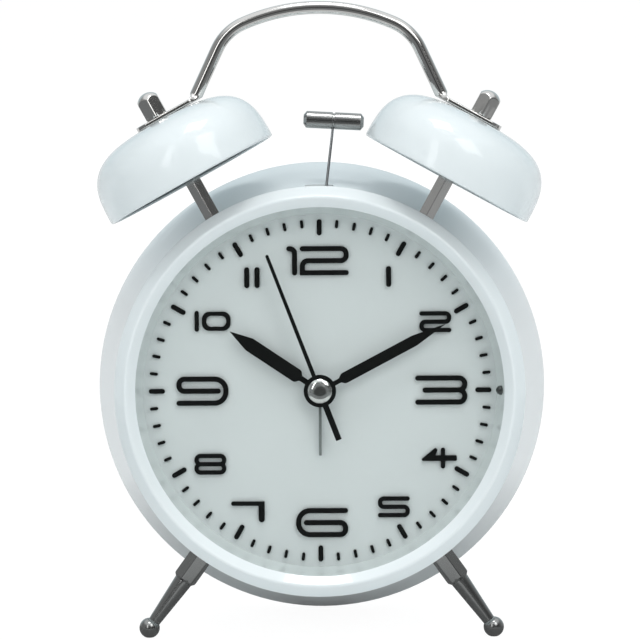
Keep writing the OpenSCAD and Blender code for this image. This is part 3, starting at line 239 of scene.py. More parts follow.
def hexagonal(
    axes: Axes, profile: Array, flats: float, turn: float, count: int = 144, power: int = 90
) -> Patch:
    """Turned bar with six flats.

    The hexagon's radius is the power mean of six distances, (sum of (max(0, cos(a - k 60))
    / half flats)^n)^(-1/n), so its corners are slightly round. The smaller of it and the
    profile's radius is taken at each height.

    Args:
        axes: Where the bar's axis w stands.
        profile: Closed outline of radius and height.
        flats: Width across the flats.
        turn: Angle of the first flat's normal from u, in degrees.
        count: Steps round the axis.
        power: The mean's power n, which makes the corners sharper.

    Returns:
        A grid that closes both ways.
    """
    a = np.linspace(0.0, TAU, count, endpoint=False)
    normals = np.radians(turn) + np.arange(6) * TAU / 6
    reach = np.maximum(0.0, np.cos(a[:, None] - normals)) / (0.5 * flats)
    hexagon = np.sum(reach**power, -1) ** (-1 / power)
    return swung(axes, np.minimum(profile[:, :1], hexagon), profile[:, 1:], a)


@dataclass
class Workshop:
    """Puts meshes into the scene, on the bodies of the frame.

    Points nearer than weld merge, and edges shorter than sliver collapse. Of a node, edges
    sharper than edge_angle are rounded, and faces that turn by less than level become one.
    """

    nodes: dict[str, bpy.types.Object] = field(default_factory=lambda: frame["nodes"])
    weld: float = 0.002
    sliver: float = 0.001
    edge_angle: float = 40.0
    edge_steps: int = 3
    level: float = 0.5

    def body_of(self, node: str) -> str:
        """Name of the body that carries a node."""
        bodies = frame["record"]["behaviour"]["bodies"]
        return next(body for body, members in bodies.items() if node in members)

    def skin(self, name: str, patches: Sequence[Patch], sharp: float = 35.0) -> bpy.types.Object:
        """Object from grids, with seams and poles merged and faces outwards.

        Args:
            name: Name of the piece.
            patches: Grids that make the piece.
            sharp: Angle between faces, in degrees, past which an edge stays sharp.

        Returns:
            The new object, at the origin.
        """
        counts = np.cumsum([0] + [p.points[..., 0].size for p in patches])
        points = np.concatenate([p.points.reshape(-1, 3) for p in patches])
        faces = np.concatenate([p.quads(first) for p, first in zip(patches, counts)])
        mesh = bpy.data.meshes.new(name)
        mesh.from_pydata(points.tolist(), [], faces.tolist())
        self.close(mesh, sharp)
        return self.link(name, mesh)

    def close(self, mesh: bpy.types.Mesh, sharp: float, flat: float = 0.0) -> None:
        """Merges doubles, turns faces outwards and smooths.

        Args:
            mesh: Mesh to work on.
            sharp: Angle in degrees past which an edge stays sharp.
            flat: Angle in degrees under which neighbouring faces become one, or 0 for none.
        """
        work = bmesh.new()
        work.from_mesh(mesh)
        bmesh.ops.remove_doubles(work, verts=work.verts, dist=self.weld * MM)
        bmesh.ops.dissolve_degenerate(work, edges=work.edges, dist=self.sliver * MM)
        if flat:
            bmesh.ops.dissolve_limit(
                work, verts=work.verts, edges=work.edges, angle_limit=np.radians(flat))
        bmesh.ops.recalc_face_normals(work, faces=work.faces)
        work.to_mesh(mesh)
        work.free()
        mesh.shade_smooth()
        mesh.set_sharp_from_angle(angle=np.radians(sharp))

    def link(self, name: str, mesh: bpy.types.Mesh) -> bpy.types.Object:
        """New object for a mesh."""
        piece = bpy.data.objects.new(name, mesh)
        bpy.context.scene.collection.objects.link(piece)
        return piece

    def softened(self, node: str, edge: float) -> bpy.types.Object:
        """Copy of a node with its sharp edges rounded.

        Args:
            node: Name of the node.
            edge: Width of the rounding in millimetres.

        Returns:
            The copy, with a bevel on its sharp edges.
        """
        mesh = self.nodes[node].data.copy()
        if mesh.has_custom_normals:
            mesh.attributes.remove(mesh.attributes["custom_normal"])
        self.close(mesh, self.edge_angle, self.level)
        piece = self.link(f"{node}_soft_edges", mesh)
        bevel = piece.modifiers.new("edges", "BEVEL")
        bevel.width = edge * MM
        bevel.segments = self.edge_steps
        bevel.limit_method = "ANGLE"
        bevel.angle_limit = np.radians(self.edge_angle)
        bevel.harden_normals = True
        return piece

    def fit(self, piece: bpy.types.Object, finish: Finish, *nodes: str, body: str = "") -> None:
        """Dresses a piece, lets it ride and puts it in place of nodes.

        Args:
            piece: The new piece.
            finish: Its finish.
            *nodes: Nodes that it stands for.
            body: Body that it rides on, or the first node's if empty.
        """
        piece.data.materials.clear()
        piece.data.materials.append(finish.material())
        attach(piece, body or self.body_of(nodes[0]))
        if nodes:
            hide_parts(*nodes)
        count = len(piece.data.polygons)
        LOG.info("%s: %d faces for %s", piece.name, count, ", ".join(nodes) or "no node")

    def soften(self, finish: Finish, edge: float, *nodes: str) -> None:
        """Replaces each node with a copy whose edges are rounded."""
        for node in nodes:
            self.fit(self.softened(node, edge), finish, node)

    def dress(self, finish: Finish, *nodes: str) -> None:
        """Gives a finish to nodes that stay as they are."""
        for node in nodes:
            self.nodes[node].material_slots[0].material = finish.material()
            LOG.info("%s: dressed in %s", node, finish.slot)


# Finishes


@dataclass
class Socket:
    """An output of a shader node, with arithmetic that adds Math nodes."""

    graph: Graph
    socket: bpy.types.NodeSocket | None

    def math(self, operation: str, first: Any, second: Any) -> Socket:
        """A Math node on two values."""
        return self.graph.node("ShaderNodeMath", {"operation": operation}, {0: first, 1: second})

    def __add__(self, other: Any) -> Socket:
        """Sum."""
        return self.math("ADD", self, other)

    def __radd__(self, other: Any) -> Socket:
        """Sum, from the right."""
        return self.math("ADD", other, self)

    def __rsub__(self, other: Any) -> Socket:
        """Difference, from the right."""
        return self.math("SUBTRACT", other, self)

    def __mul__(self, other: Any) -> Socket:
        """Product."""
        return self.math("MULTIPLY", self, other)

    def __rmul__(self, other: Any) -> Socket:
        """Product, from the right."""
        return self.math("MULTIPLY", other, self)

    def __gt__(self, other: Any) -> Socket:
        """One where the value is greater, and zero elsewhere."""
        return self.math("GREATER_THAN", self, other)

    def __or__(self, other: Any) -> Socket:
        """Greater of two values."""
        return self.math("MAXIMUM", self, other)


@dataclass
class Graph:
    """The node tree of one material or of the world."""

    tree: bpy.types.NodeTree

    @classmethod
    def fresh(cls, owner: bpy.types.Material | bpy.types.World) -> Graph:
        """The emptied graph of a new material or world."""
        owner.use_nodes = True
        owner.node_tree.nodes.clear()
        return cls(owner.node_tree)

    def node(
        self, kind: str, settings: dict[str, Any] | None = None,
        inputs: dict[Any, Any] | None = None, output: Any = 0,
    ) -> Socket:
        """Adds a node.

        Args:
            kind: Type of the node.
            settings: Attributes that are set first; "stops" gives a ramp's positions and colours.
            inputs: Values or sockets by input name or number.
            output: Name or number of the output that is returned.

        Returns:
            The chosen output.
        """
        made = self.tree.nodes.new(kind)
        for name, value in (settings or {}).items():
            if name == "stops":
                self.ramp(made.color_ramp, value)
            else:
                setattr(made, name, value)
        for name, value in (inputs or {}).items():
            if isinstance(value, Socket):
                self.tree.links.new(value.socket, made.inputs[name])
            else:
                made.inputs[name].default_value = value
        return Socket(self, made.outputs[output] if len(made.outputs) else None)

    def ramp(self, ramp: bpy.types.ColorRamp, stops: Ramp) -> None:
        """Sets a ramp's stops."""
        while len(ramp.elements) < len(stops):
            ramp.elements.new(1.0)
        for element, (at, colour) in zip(ramp.elements, stops):
            element.position = at
            element.color = (*colour, 1.0)

    def place(self) -> Socket:
        """Object coordinates."""
        return self.node("ShaderNodeTexCoord", output="Object")

    def noise(self, scale: float, detail: float = 2.0, stretch: Triple | None = None) -> Socket:
        """Noise from 0 to 1, of scale waves to the metre, on Object coordinates."""
        at = self.place()
        if stretch:
            at = self.node("ShaderNodeMapping", {}, {"Vector": at, "Scale": stretch})
        inputs = {"Vector": at, "Scale": scale, "Detail": detail}
        return self.node("ShaderNodeTexNoise", {}, inputs)

    def blend(self, factor: Socket, first: Colour | Socket, second: Colour | Socket) -> Socket:
        """Colour between two colours."""
        low, high = (c if isinstance(c, Socket) else (*c, 1.0) for c in (first, second))
        inputs = {0: factor, 6: low, 7: high}
        return self.node("ShaderNodeMix", {"data_type": "RGBA"}, inputs, 2)

    def mix(self, factor: Socket, first: Socket, second: Socket) -> Socket:
        """Shader between two shaders."""
        return self.node("ShaderNodeMixShader", {}, {0: factor, 1: first, 2: second})

    def bump(self, height: Socket, depth: float) -> Socket:
        """Normal from a height that is depth millimetres high at 1."""
        return self.node("ShaderNodeBump", {}, {"Distance": depth * MM, "Height": height})

    def surface(self, **inputs: Any) -> None:
        """Principled surface, with its sockets' names in small letters and underscores."""
        named = {k.replace("_", " ").title().replace("Ior", "IOR"): v for k, v in inputs.items()}
        self.output(self.node("ShaderNodeBsdfPrincipled", {}, named))

    def output(self, shader: Socket) -> None:
        """Links a shader to the material's output."""
        self.node("ShaderNodeOutputMaterial", {}, {"Surface": shader})


@dataclass(frozen=True)
class Finish:
    """A finish, named after the record's material slot."""

    slot: str
    colour: Colour
    rough: float
    look: str = "finish"

    def material(self) -> bpy.types.Material:
        """The finish's material, made once."""
        name = f"{self.slot}_{self.look}"
        made = bpy.data.materials.get(name)
        if made is None:
            made = bpy.data.materials.new(name)
            self.dress(Graph.fresh(made))
        return made

    def dress(self, graph: Graph) -> None:
        """Adds the finish's nodes; each kind of finish has its own."""
        raise NotImplementedError

    def tones(self, spread: float) -> tuple[Colour, Colour]:
        """The colour made darker and lighter by a share."""
        dark = tuple(c * (1.0 - spread) for c in self.colour)
        light = tuple(min(1.0, c * (1.0 + spread)) for c in self.colour)
        return dark, light


@dataclass(frozen=True)
class GlossPaint(Finish):
    """Sprayed gloss paint: a faint orange peel, a slow drift of tone and a clear coat."""

    peel: float = 700.0
    depth: float = 0.002
    drift: float = 28.0
    spread: float = 0.012
    coat: float = 0.9
    coat_rough: float = 0.04
    gloss: float = 0.25

    def dress(self, graph: Graph) -> None:
        """Tone from slow noise, bump from the peel, roughness from both."""
        drift = graph.noise(self.drift)
        peel = graph.noise(self.peel, 1.0)
        graph.surface(
            base_color=graph.blend(drift, *self.tones(self.spread)),
            roughness=self.rough + 0.06 * drift + 0.03 * peel,
            coat_weight=self.coat,
            coat_roughness=self.coat_rough,
            specular_ior_level=self.gloss,
            normal=graph.bump(peel, self.depth),
        )


@dataclass(frozen=True)
class Metal(Finish):
    """Plated or bare metal with fine polishing lines and clouded plating."""

    lines: Triple = (900.0, 900.0, 120.0)
    depth: float = 0.001
    clouds: float = 220.0
    spread: float = 0.06

    def dress(self, graph: Graph) -> None:
        """Roughness from clouds and lines, tone from clouds, bump from lines."""
        lines = graph.noise(1.0, stretch=self.lines)
        clouds = graph.noise(self.clouds, 3.0)
        graph.surface(
            base_color=graph.blend(clouds, *self.tones(self.spread)),
            metallic=1.0,
            roughness=self.rough + 0.10 * clouds * lines,
            normal=graph.bump(lines, self.depth),
        )


@dataclass(frozen=True)
class Moulded(Finish):
    """Moulded plastic with a spark-eroded grain."""

    grain: float = 2600.0
    depth: float = 0.02
    coat: float = 0.0
    gloss: float = 0.5
    drift: float = 40.0
    spread: float = 0.05
    index: float = 1.49

    def dress(self, graph: Graph) -> None:
        """Bump and roughness from the grain, tone from a slow drift."""
        grain = graph.noise(self.grain, 3.0)
        drift = graph.noise(self.drift)
        graph.surface(
            base_color=graph.blend(drift * 0.6 + grain * 0.4, *self.tones(self.spread)),
            roughness=self.rough + 0.12 * grain,
            coat_weight=self.coat,
            specular_ior_level=self.gloss,
            ior=self.index,
            normal=graph.bump(grain, self.depth),
        )


@dataclass(frozen=True)
class ClearLens(Finish):
    """Flat crystal: clear, with the reflection that its angle gives."""

    least: float = 0.04
    wipe: float = 60.0
    wipe_stretch: Triple = (1.0, 1.0, 4.0)

    def dress(self, graph: Graph) -> None:
        """Clear mixed with mirror by least + (1 - least) facing^5, with faint wipe marks."""
        wipe = graph.noise(self.wipe, 3.0, self.wipe_stretch)
        clear = graph.node("ShaderNodeBsdfTransparent", {}, {"Color": (*self.colour, 1.0)})
        mirror = graph.node("ShaderNodeBsdfGlossy", {}, {"Roughness": self.rough + 0.02 * wipe})
        facing = graph.node("ShaderNodeLayerWeight", {}, {"Blend": 0.5}, "Facing")
        square = facing * facing
        angle = self.least + (1.0 - self.least) * (square * square * facing)
        graph.output(graph.mix(angle, clear, mirror))


@dataclass(frozen=True)
class Winding(Finish):
    """Lacquered wire wound in close turns along z."""

    pitch: float = 5200.0
    depth: float = 0.06
    spread: float = 0.35

    def dress(self, graph: Graph) -> None:
        """Bump and tone from bands across the coil; the tone, darker in the grooves between turns, is painted
        shade.
        """
        bands = {"bands_direction": "Z", "wave_profile": "SIN"}
        inputs = {"Vector": graph.place(), "Scale": self.pitch, "Distortion": 0.6}
        turns = graph.node("ShaderNodeTexWave", bands, inputs, "Fac")
        graph.surface(
            base_color=graph.blend(turns, *self.tones(self.spread)),
            metallic=0.8,
            roughness=self.rough + 0.15 * turns,
            normal=graph.bump(turns, self.depth),
        )


@dataclass(frozen=True)
class Board(Finish):
    """Lacquered circuit board with paler copper tracks."""

    tracks: Colour = (0.10, 0.30, 0.14)
    track_width: float = 0.06
    depth: float = 0.03
    cells: float = 520.0

    def dress(self, graph: Graph) -> None:
        """Tracks where a cell pattern's edges run."""
        inputs = {"Vector": graph.place(), "Scale": self.cells}
        edge = graph.node("ShaderNodeTexVoronoi", {"feature": "DISTANCE_TO_EDGE"}, inputs)
        gap = edge > self.track_width
        graph.surface(
            base_color=graph.blend(gap, self.tracks, self.colour),
            roughness=self.rough + 0.1 * gap,
            coat_weight=0.4,
            normal=graph.bump(1.0 - gap, self.depth),
        )


@dataclass(frozen=True)
class Jacket(Finish):
    """Printed jacket of a dry cell, with a metal band at one end."""

    band: Colour = (0.66, 0.40, 0.18)
    band_from: float = 0.012
    film: float = 300.0
    film_stretch: Triple = (0.3, 1.0, 1.0)
    depth: float = 0.02

    def dress(self, graph: Graph) -> None:
        """Band by the place along the cell, wrinkles in the film as bump."""
        band = graph.node("ShaderNodeSeparateXYZ", {}, {0: graph.place()}) > self.band_from
        film = graph.noise(self.film, stretch=self.film_stretch)
        graph.surface(
            base_color=graph.blend(band, self.colour, self.band),
            metallic=0.6 * band,
            roughness=self.rough + 0.1 * film,
            coat_weight=0.3,
            normal=graph.bump(film, self.depth),
        )


@dataclass(frozen=True)
class Palette:
    """All finishes of the clock."""

    paint: Finish = GlossPaint("white_paint", (0.80, 0.86, 0.875), 0.26)
    lens: Finish = ClearLens("clear_lens", (0.985, 0.995, 0.99), 0.02)
    ring: Finish = Moulded(
        "white_ring", (0.81, 0.86, 0.865), 0.10, grain=900.0, depth=0.003, coat=0.6)
    dial: Finish = Moulded("pale_dial", (0.775, 0.815, 0.825), 0.42, grain=5200.0, depth=0.008)
    marks: Finish = Moulded(
        "black_marks", (0.004, 0.005, 0.005), 0.30, grain=1800.0, depth=0.002, gloss=0.15)
    light: Finish = Moulded(
        "smoked_light", (0.045, 0.050, 0.050), 0.12, grain=900.0, depth=0.002, coat=0.5)
    hands: Finish = Moulded(
        "black_hands", (0.004, 0.005, 0.005), 0.34, grain=2400.0, depth=0.002, gloss=0.15)
    alarm: Finish = Moulded("grey_hand", (0.20, 0.22, 0.22), 0.38, grain=2400.0, depth=0.004)
    nickel: Finish = Metal("polished_nickel", (0.70, 0.69, 0.67), 0.09)
    # Lighter copy of the polished nickel: painted highlight on the second hand's cap
    mirror: Finish = Metal("polished_nickel", (0.93, 0.93, 0.92), 0.05, "mirror")
    # Darker copy of the polished nickel: painted shade on the legs and hammer head
    worn: Finish = Metal("polished_nickel", (0.33, 0.335, 0.33), 0.18, "worn")
    steel: Finish = Metal("plain_steel", (0.56, 0.57, 0.58), 0.26)
    # Bluish grey sheet for the insides of the white bells: painted shade
    primer: Finish = Moulded(
        "plain_steel", (0.25, 0.29, 0.305), 0.55, "primer", grain=1500.0, depth=0.01)
    brass: Finish = Metal("brass", (0.78, 0.58, 0.27), 0.22)
    wheels: Finish = Moulded("pale_wheels", (0.80, 0.78, 0.70), 0.40, grain=3000.0, depth=0.006)
    shell: Finish = Moulded("dark_shell", (0.030, 0.032, 0.035), 0.48)
    rear: Finish = Moulded("rear_white", (0.74, 0.78, 0.79), 0.46)
    control: Finish = Moulded("control_grey", (0.22, 0.235, 0.24), 0.45)
    copper: Finish = Winding("copper_coil", (0.62, 0.24, 0.10), 0.30)
    board: Finish = Board("green_board", (0.030, 0.13, 0.055), 0.35)
    jacket: Finish = Jacket("cell_jacket", (0.02, 0.022, 0.026), 0.28)


PALETTE = Palette()


# Sub-assemblies


@dataclass
class Case:
    """Drum, bezel, lens and rear cover."""

    opening_r: float = 46.3
    crest_r: float = 48.8
    bezel_r: float = 51.7
    skirt: float = 1.4
    slope_d: float = 3.2
    lens_d: float = 2.9
    lip: float = 0.7
    drum_edge_d: float = 4.0
    bezel_depth: float = 6.6
    lens_seat_r: float = 48.05
    cover_edge: float = 0.3
    screw_edge: float = 0.2

    def bezel(self) -> Patch:
        """Bezel turned from its corners (radius, depth, rounding), with a crest between slopes."""
        return turned(STAND.drum(), rounded([
            (self.opening_r, self.lens_d, 0.08),
            (self.opening_r, self.lens_d - self.lip, 0.3),
            (self.crest_r, 0.0, 0.7),
            (self.bezel_r, self.slope_d, 0.8),
            (self.bezel_r, self.bezel_depth, 0.35),
            (self.bezel_r - self.skirt, self.bezel_depth, 0.2),
            (self.bezel_r - self.skirt, self.drum_edge_d, 0.1),
            (self.lens_seat_r, self.drum_edge_d, 0.1),
            (self.lens_seat_r, self.lens_d, 0.08)]), 256)

    def build(self, shop: Workshop) -> None:
        """Adds the bezel and dresses the rest of the case."""
        shop.fit(shop.skin("bezel_ring", [self.bezel()]), PALETTE.paint, "front_bezel")
        shop.dress(PALETTE.paint, "case_drum")
        shop.dress(PALETTE.lens, "crystal_lens")
        shop.soften(PALETTE.rear, self.cover_edge, "rear_cover", "battery_door")
        shop.soften(PALETTE.steel, self.screw_edge, "cover_screws")


@dataclass
class Dial:
    """Dial plate, spacer ring, light and raised marks."""

    mark_edge: float = 0.18
    light_edge: float = 0.3

    def build(self, shop: Workshop) -> None:
        """Dresses the plate and ring, and rounds the marks' edges."""
        shop.dress(PALETTE.dial, "dial_plate")
        shop.dress(PALETTE.ring, "dial_spacer_ring")
        shop.soften(PALETTE.light, self.light_edge, "dial_light")
        marks = ("hour_numerals", "hour_markers", "minute_markers")
        shop.soften(PALETTE.marks, self.mark_edge, *marks)


@dataclass
class Hands:
    """Hour, minute, second and alarm hands, and the second hand's cap."""

    edge: float = 0.1
    cap_r: float = 3.05
    cap_back: float = 5.3
    cap_h: float = 0.55

    def cap(self) -> Patch:
        """Domed cap: height h (1 - (r / cap radius)^4) in front of its flat back."""
        t = np.sin(np.linspace(0.0, np.pi / 2, 40))
        dome = np.stack([self.cap_r * t, self.cap_back - self.cap_h * (1.0 - t**4)], -1)
        return turned(STAND.drum(), np.concatenate([dome, [[0.0, self.cap_back]]]), 96)

    def build(self, shop: Workshop) -> None:
        """Rounds the hands' edges and adds the cap."""
        shop.soften(PALETTE.hands, self.edge, "hour_hand", "minute_hand", "second_hand")
        shop.soften(PALETTE.alarm, self.edge, "alarm_hand")
        # The cap takes the lighter copy of the nickel, which paints a highlight on it
        shop.fit(shop.skin("second_cap_dome", [self.cap()]), PALETTE.mirror, "second_cap")


@dataclass
class Bells:
    """Two bells on hexagonal posts, their acorn nuts and the carry handle."""

    angle: float = 28.8
    drop: float = 5.2
    root: float = 56.6132
    rim: float = 67.0132
    radius: float = 23.4
    height: float = 17.2
    wall: float = 1.0
    power: float = 3.3
    hole_r: float = 1.55
    post_flats: float = 4.0
    nut_flats: float = 5.5
    nut_h: float = 6.8
    tab_t: float = 1.2
    tab_half: float = 3.0
    tab_out: float = 6.1
    tab_flat: float = 15.0
    tab_in: float = 10.55
    rod_r: float = 1.65
    arch_r: float = 48.0
    arch_top: float = 97.1966
    bend_r: float = 13.0
    knee_r: float = 2.0
    lean: float = 25.0
    # Gap and thickness of the dark sheet that paints shade inside each bell
    shade_sheet_gap: float = 0.02
    shade_sheet_t: float = 0.1
    sunk: float = 1.5
    stock_r: float = 3.0
    nut_over: float = 0.25
    nut_bevel: float = 0.35
    press: float = 2.8
    strip_power: float = 6.0
    spacing: float = 0.35

    @property
    def top(self) -> float:
        """Distance of the bells' flat tops along their posts."""
        return self.rim + self.height

    def axes(self, side: Side) -> Axes:
        """Axes of the post on one side."""
        return STAND.ringing(side.value * self.angle, self.drop)

    def dome(self, radius: float, height: float) -> Array:
        """Superellipse (radius cos^(2/n) a, height sin^(2/n) a), from the lip to the top's hole."""
        low = np.arcsin((0.5 * self.wall / height) ** (0.5 * self.power))
        high = np.arccos((self.hole_r / radius) ** (0.5 * self.power))
        a = np.linspace(low, high, 90)
        share = 2 / self.power
        return np.stack([radius * np.cos(a) ** share, height * np.sin(a) ** share], -1)

    def bell(self, side: Side) -> Patch:
        """Bell turned about its post: outer dome, round lip and inner dome."""
        half = 0.5 * self.wall
        outer = self.dome(self.radius, self.height)
        inner = self.dome(self.radius - self.wall, self.height - self.wall)
        lip = arc(np.array([self.radius - half, half]), half, -180.0, 0.0, 12)
        profile = np.concatenate([inner[::-1], lip, outer]) + [0.0, self.rim]
        return turned(self.axes(side), profile, 224)

    def lining(self, side: Side) -> Patch:
        """Thin dark sheet inside a bell that paints the shade there: two superellipses, just inside the shell's
        inner dome.
        """
        gap = self.wall + self.shade_sheet_gap
        outer, inner = (
            self.dome(self.radius - t, self.height - t) for t in (gap, gap + self.shade_sheet_t))
        profile = np.concatenate([outer[::-1], inner]) + [0.0, self.rim]
        return turned(self.axes(side), profile, 160)

    def post(self, side: Side) -> Patch:
        """Hexagonal post from the drum's wall to the underside of the bell's crown."""
        low, high, r = self.root - self.sunk, self.top - self.wall, self.stock_r
        ends = rounded([(0.0, low, 0.0), (r, low, 0.0), (r, high, 0.0), (0.0, high, 0.0)], 2)
        return hexagonal(self.axes(side), ends, self.post_flats, 0.0)

    def nut(self, side: Side) -> Patch:
        """Acorn nut: six flats under a dome, with its lower corners turned off."""
        base, half = self.top + self.tab_t, 0.5 * self.nut_flats
        corner = half / np.cos(np.pi / 6)
        ball_r = corner + self.nut_over
        ball = arc(np.array([0.0, base + self.nut_h - ball_r]), ball_r, 0.0, 90.0, 30)
        foot = np.array([[0.0, base], [half, base], [corner, base + self.nut_bevel]])
        return hexagonal(self.axes(side), np.concatenate([foot, ball]), self.nut_flats, 0.0)

    def handle_path(self) -> Array:
        """Right half of the rod's centre line: arch, upper bend, leg, knee and tab, all tangent."""
        def toward(a: float) -> Array:
            """Unit vector at an angle in degrees."""
            return np.array([np.cos(np.radians(a)), np.sin(np.radians(a))])

        along, up = toward(-self.angle), toward(90.0 + self.lean)
        inward = toward(180.0 + self.lean)
        level = (self.top + 0.5 * self.tab_t) * toward(90.0 - self.angle) - [0.0, self.drop]
        knee = level - self.tab_in * along
        centre = np.array([0.0, self.arch_top - self.arch_r])
        start = knee + self.bend_r * inward - centre
        reach = self.arch_r - self.bend_r
        run = -start @ up + np.sqrt((start @ up) ** 2 - start @ start + reach**2)
        bend = centre + start + run * up
        half = np.degrees(np.arctan2(bend[0], bend[1] - centre[1]))
        corner = 0.5 * np.arccos(up @ along)
        turn = knee + self.knee_r / np.sin(corner) * unit(up + along)
        end = knee + (self.tab_in + self.tab_out) * along
        return even(np.concatenate([
            arc(centre, self.arch_r, 90.0, 90.0 - half, 60),
            arc(bend, self.bend_r, 90.0 - half, self.lean, 24),
            arc(turn, self.knee_r, 180.0 + self.lean, 270.0 - self.angle, 16),
            end[None]]), self.spacing)

    def handle(self) -> Patch:
        """Rod along its centre line.

        The section is a superellipse that goes from a circle on the rod to a flat strip on
        the tabs, and the strip's half width follows a circle to nothing at its end. What would
        pass through a bell's top is pressed flat on it.

        Returns:
            The handle's grid, closed at both ends.
        """
        right = self.handle_path()
        path = np.concatenate([(right * [-1.0, 1.0])[:0:-1], right])
        tangent = unit(np.gradient(path, axis=0))
        normal = np.stack([-tangent[:, 1], tangent[:, 0]], -1)
        step = np.linalg.norm(np.diff(right, axis=0), axis=1)
        rest = np.concatenate([[0.0], np.cumsum(step[::-1])])[::-1]
        rest = np.concatenate([rest[:0:-1], rest])
        flat = 1.0 - smooth(self.tab_flat, self.tab_flat + self.press, rest)
        thick = self.rod_r + flat * (0.5 * self.tab_t - self.rod_r)
        wide = self.rod_r + flat * (self.tab_half - self.rod_r)
        wide = wide * np.sqrt(1.0 - np.clip(1.0 - rest / self.tab_half, 0.0, 1.0) ** 2)
        power = 2.0 / (2.0 + (self.strip_power - 2.0) * flat)
        a = np.linspace(0.0, TAU, 64, endpoint=False)
        out = thick[:, None] * np.sign(np.cos(a)) * np.abs(np.cos(a)) ** power[:, None]
        back = wide[:, None] * np.sign(np.sin(a)) * np.abs(np.sin(a)) ** power[:, None]
        x, z = np.moveaxis(path[:, None, :] + out[..., None] * normal[:, None, :], -1, 0)
        sine, cosine = np.sin(np.radians(self.angle)), np.cos(np.radians(self.angle))
        lift = np.clip(self.top - sine * np.abs(x) - cosine * (z + self.drop), 0.0, None)
        x, z = x + sine * lift * np.sign(x), z + cosine * lift
        return Patch(STAND.ringing(0.0).place(x, back, z), False, True)

    def build(self, shop: Workshop) -> None:
        """Adds bells, posts, nuts and handle."""
        for side in Side:
            node = f"{side.name.lower()}_bell"
            shop.fit(shop.skin(f"{node}_shell", [self.bell(side)]), PALETTE.paint, node)
        linings, posts, nuts = (
            [make(side) for side in Side] for make in (self.lining, self.post, self.nut))
        # Bluish grey linings inside the white bells: painted shade
        shop.fit(shop.skin("bell_linings", linings), PALETTE.primer, body="case")
        shop.fit(shop.skin("hexagonal_posts", posts, sharp=25.0), PALETTE.nickel, "bell_posts")
        shop.fit(shop.skin("domed_nuts", nuts, sharp=30.0), PALETTE.nickel, "acorn_nuts")
        handle = shop.skin("handle_rod", [self.handle()], sharp=60.0)
        shop.fit(handle, PALETTE.nickel, "carry_handle")
        shop.dress(PALETTE.steel, "post_lock_nuts")


@dataclass
class Legs:
    """Two legs with hexagonal heads, tapered shanks and ball feet."""

    angle: float = 35.9
    root_r: float = 52.1167
    head_l: float = 7.9
    flats: float = 5.5
    shank_l: float = 12.9
    shank_r: float = 2.35
    neck_r: float = 1.55
    foot_r: float = 2.6
    foot_at: float = 75.0041
    turn: float = -15.0
    sunk: float = 1.5
    stock: float = 0.1
    bevel: Pairs = ((0.0, -0.95), (-0.25, -0.55))
    collar: Pairs = ((0.12, 0.0), (0.0, 0.05), (0.0, 0.3))
    shank_from: float = 0.4

    def leg(self, side: Side) -> Patch:
        """Leg turned from head to foot, with flats on its head and the ball cut at the floor."""
        top, shoulder = self.root_r - self.sunk, self.root_r + self.head_l
        corner = 0.5 * self.flats / np.cos(np.pi / 6) + self.stock
        head = [(0.0, top), (corner, top)]
        head += [(corner + r, shoulder + h) for r, h in self.bevel]
        head += [(self.shank_r + r, shoulder + h) for r, h in self.collar]
        along = np.linspace(shoulder + self.shank_from, shoulder + self.shank_l, 12)
        shank = np.stack([np.linspace(self.shank_r, self.neck_r, 12), along], -1)
        open_half = np.degrees(np.arcsin(self.neck_r / self.foot_r))
        ball = arc(np.array([0.0, self.foot_at]), self.foot_r, open_half - 90.0, 90.0, 40)
        profile = np.concatenate([head, shank, ball])
        axes = STAND.spoke(side.value * (180.0 - self.angle))
        grid = hexagonal(axes, profile, self.flats, side.value * self.turn)
        grid.points[..., 2] = np.maximum(grid.points[..., 2], 0.0)
        return grid

    def build(self, shop: Workshop) -> None:
        """Adds both legs."""
        for side in Side:
            node = f"{side.name.lower()}_leg"
            piece = shop.skin(f"{node}_turned", [self.leg(side)], sharp=28.0)
            # The legs take the darker copy of the nickel, which paints shade on them
            shop.fit(piece, PALETTE.worn, node)
        shop.dress(PALETTE.steel, "leg_lock_nuts")


@dataclass
class Hammer:
    """Hammer head and wire, and the striker that drives them."""

    pivot_z: float = 36.0
    lean: float = 6.6
    length: float = 32.714
    tilt: float = 3.2
    head_r: float = 2.15
    half: float = 7.66824
    chamfer: float = 0.75
    groove: float = 0.28
    tip: float = 1.3
    flare: float = 1.2
    edge: float = 0.25
    fine: float = 0.08
    striker_edge: float = 0.15

    def head(self) -> Patch:
        """Short bar turned about its length, with bevelled ends and a groove for the wire."""
        r, g, c, end = self.head_r, self.groove, self.chamfer, self.half
        side = [
            (r - g, g, self.fine), (r, self.flare * g, self.fine), (r, end - c, self.edge),
            (r - self.tip * c, end, self.edge), (0.0, end, 0.0)]
        profile = rounded([(radius, -h, edge) for radius, h, edge in side[::-1]] + side)
        pivot = STAND.spoke(0.0).moved(0.0, 0.0, self.pivot_z).origin
        at = pivot + self.length * STAND.spoke(self.lean).w
        bar = STAND.spoke(90.0 + self.tilt)
        return turned(Axes(at, bar.u, bar.v, bar.w), profile, 96)

    def build(self, shop: Workshop) -> None:
        """Adds the head and dresses the striker."""
        # The hammer head takes the darker copy of the nickel, which paints shade on it
        shop.fit(shop.skin("hammer_bar", [self.head()], sharp=30.0), PALETTE.worn, "hammer_head")
        shop.dress(PALETTE.steel, "hammer_wire", "hammer_pivot_pin", "hammer_lever")
        shop.dress(PALETTE.control, "striker_crank")
        shop.soften(PALETTE.steel, self.striker_edge, "striker_bracket", "striker_motor")


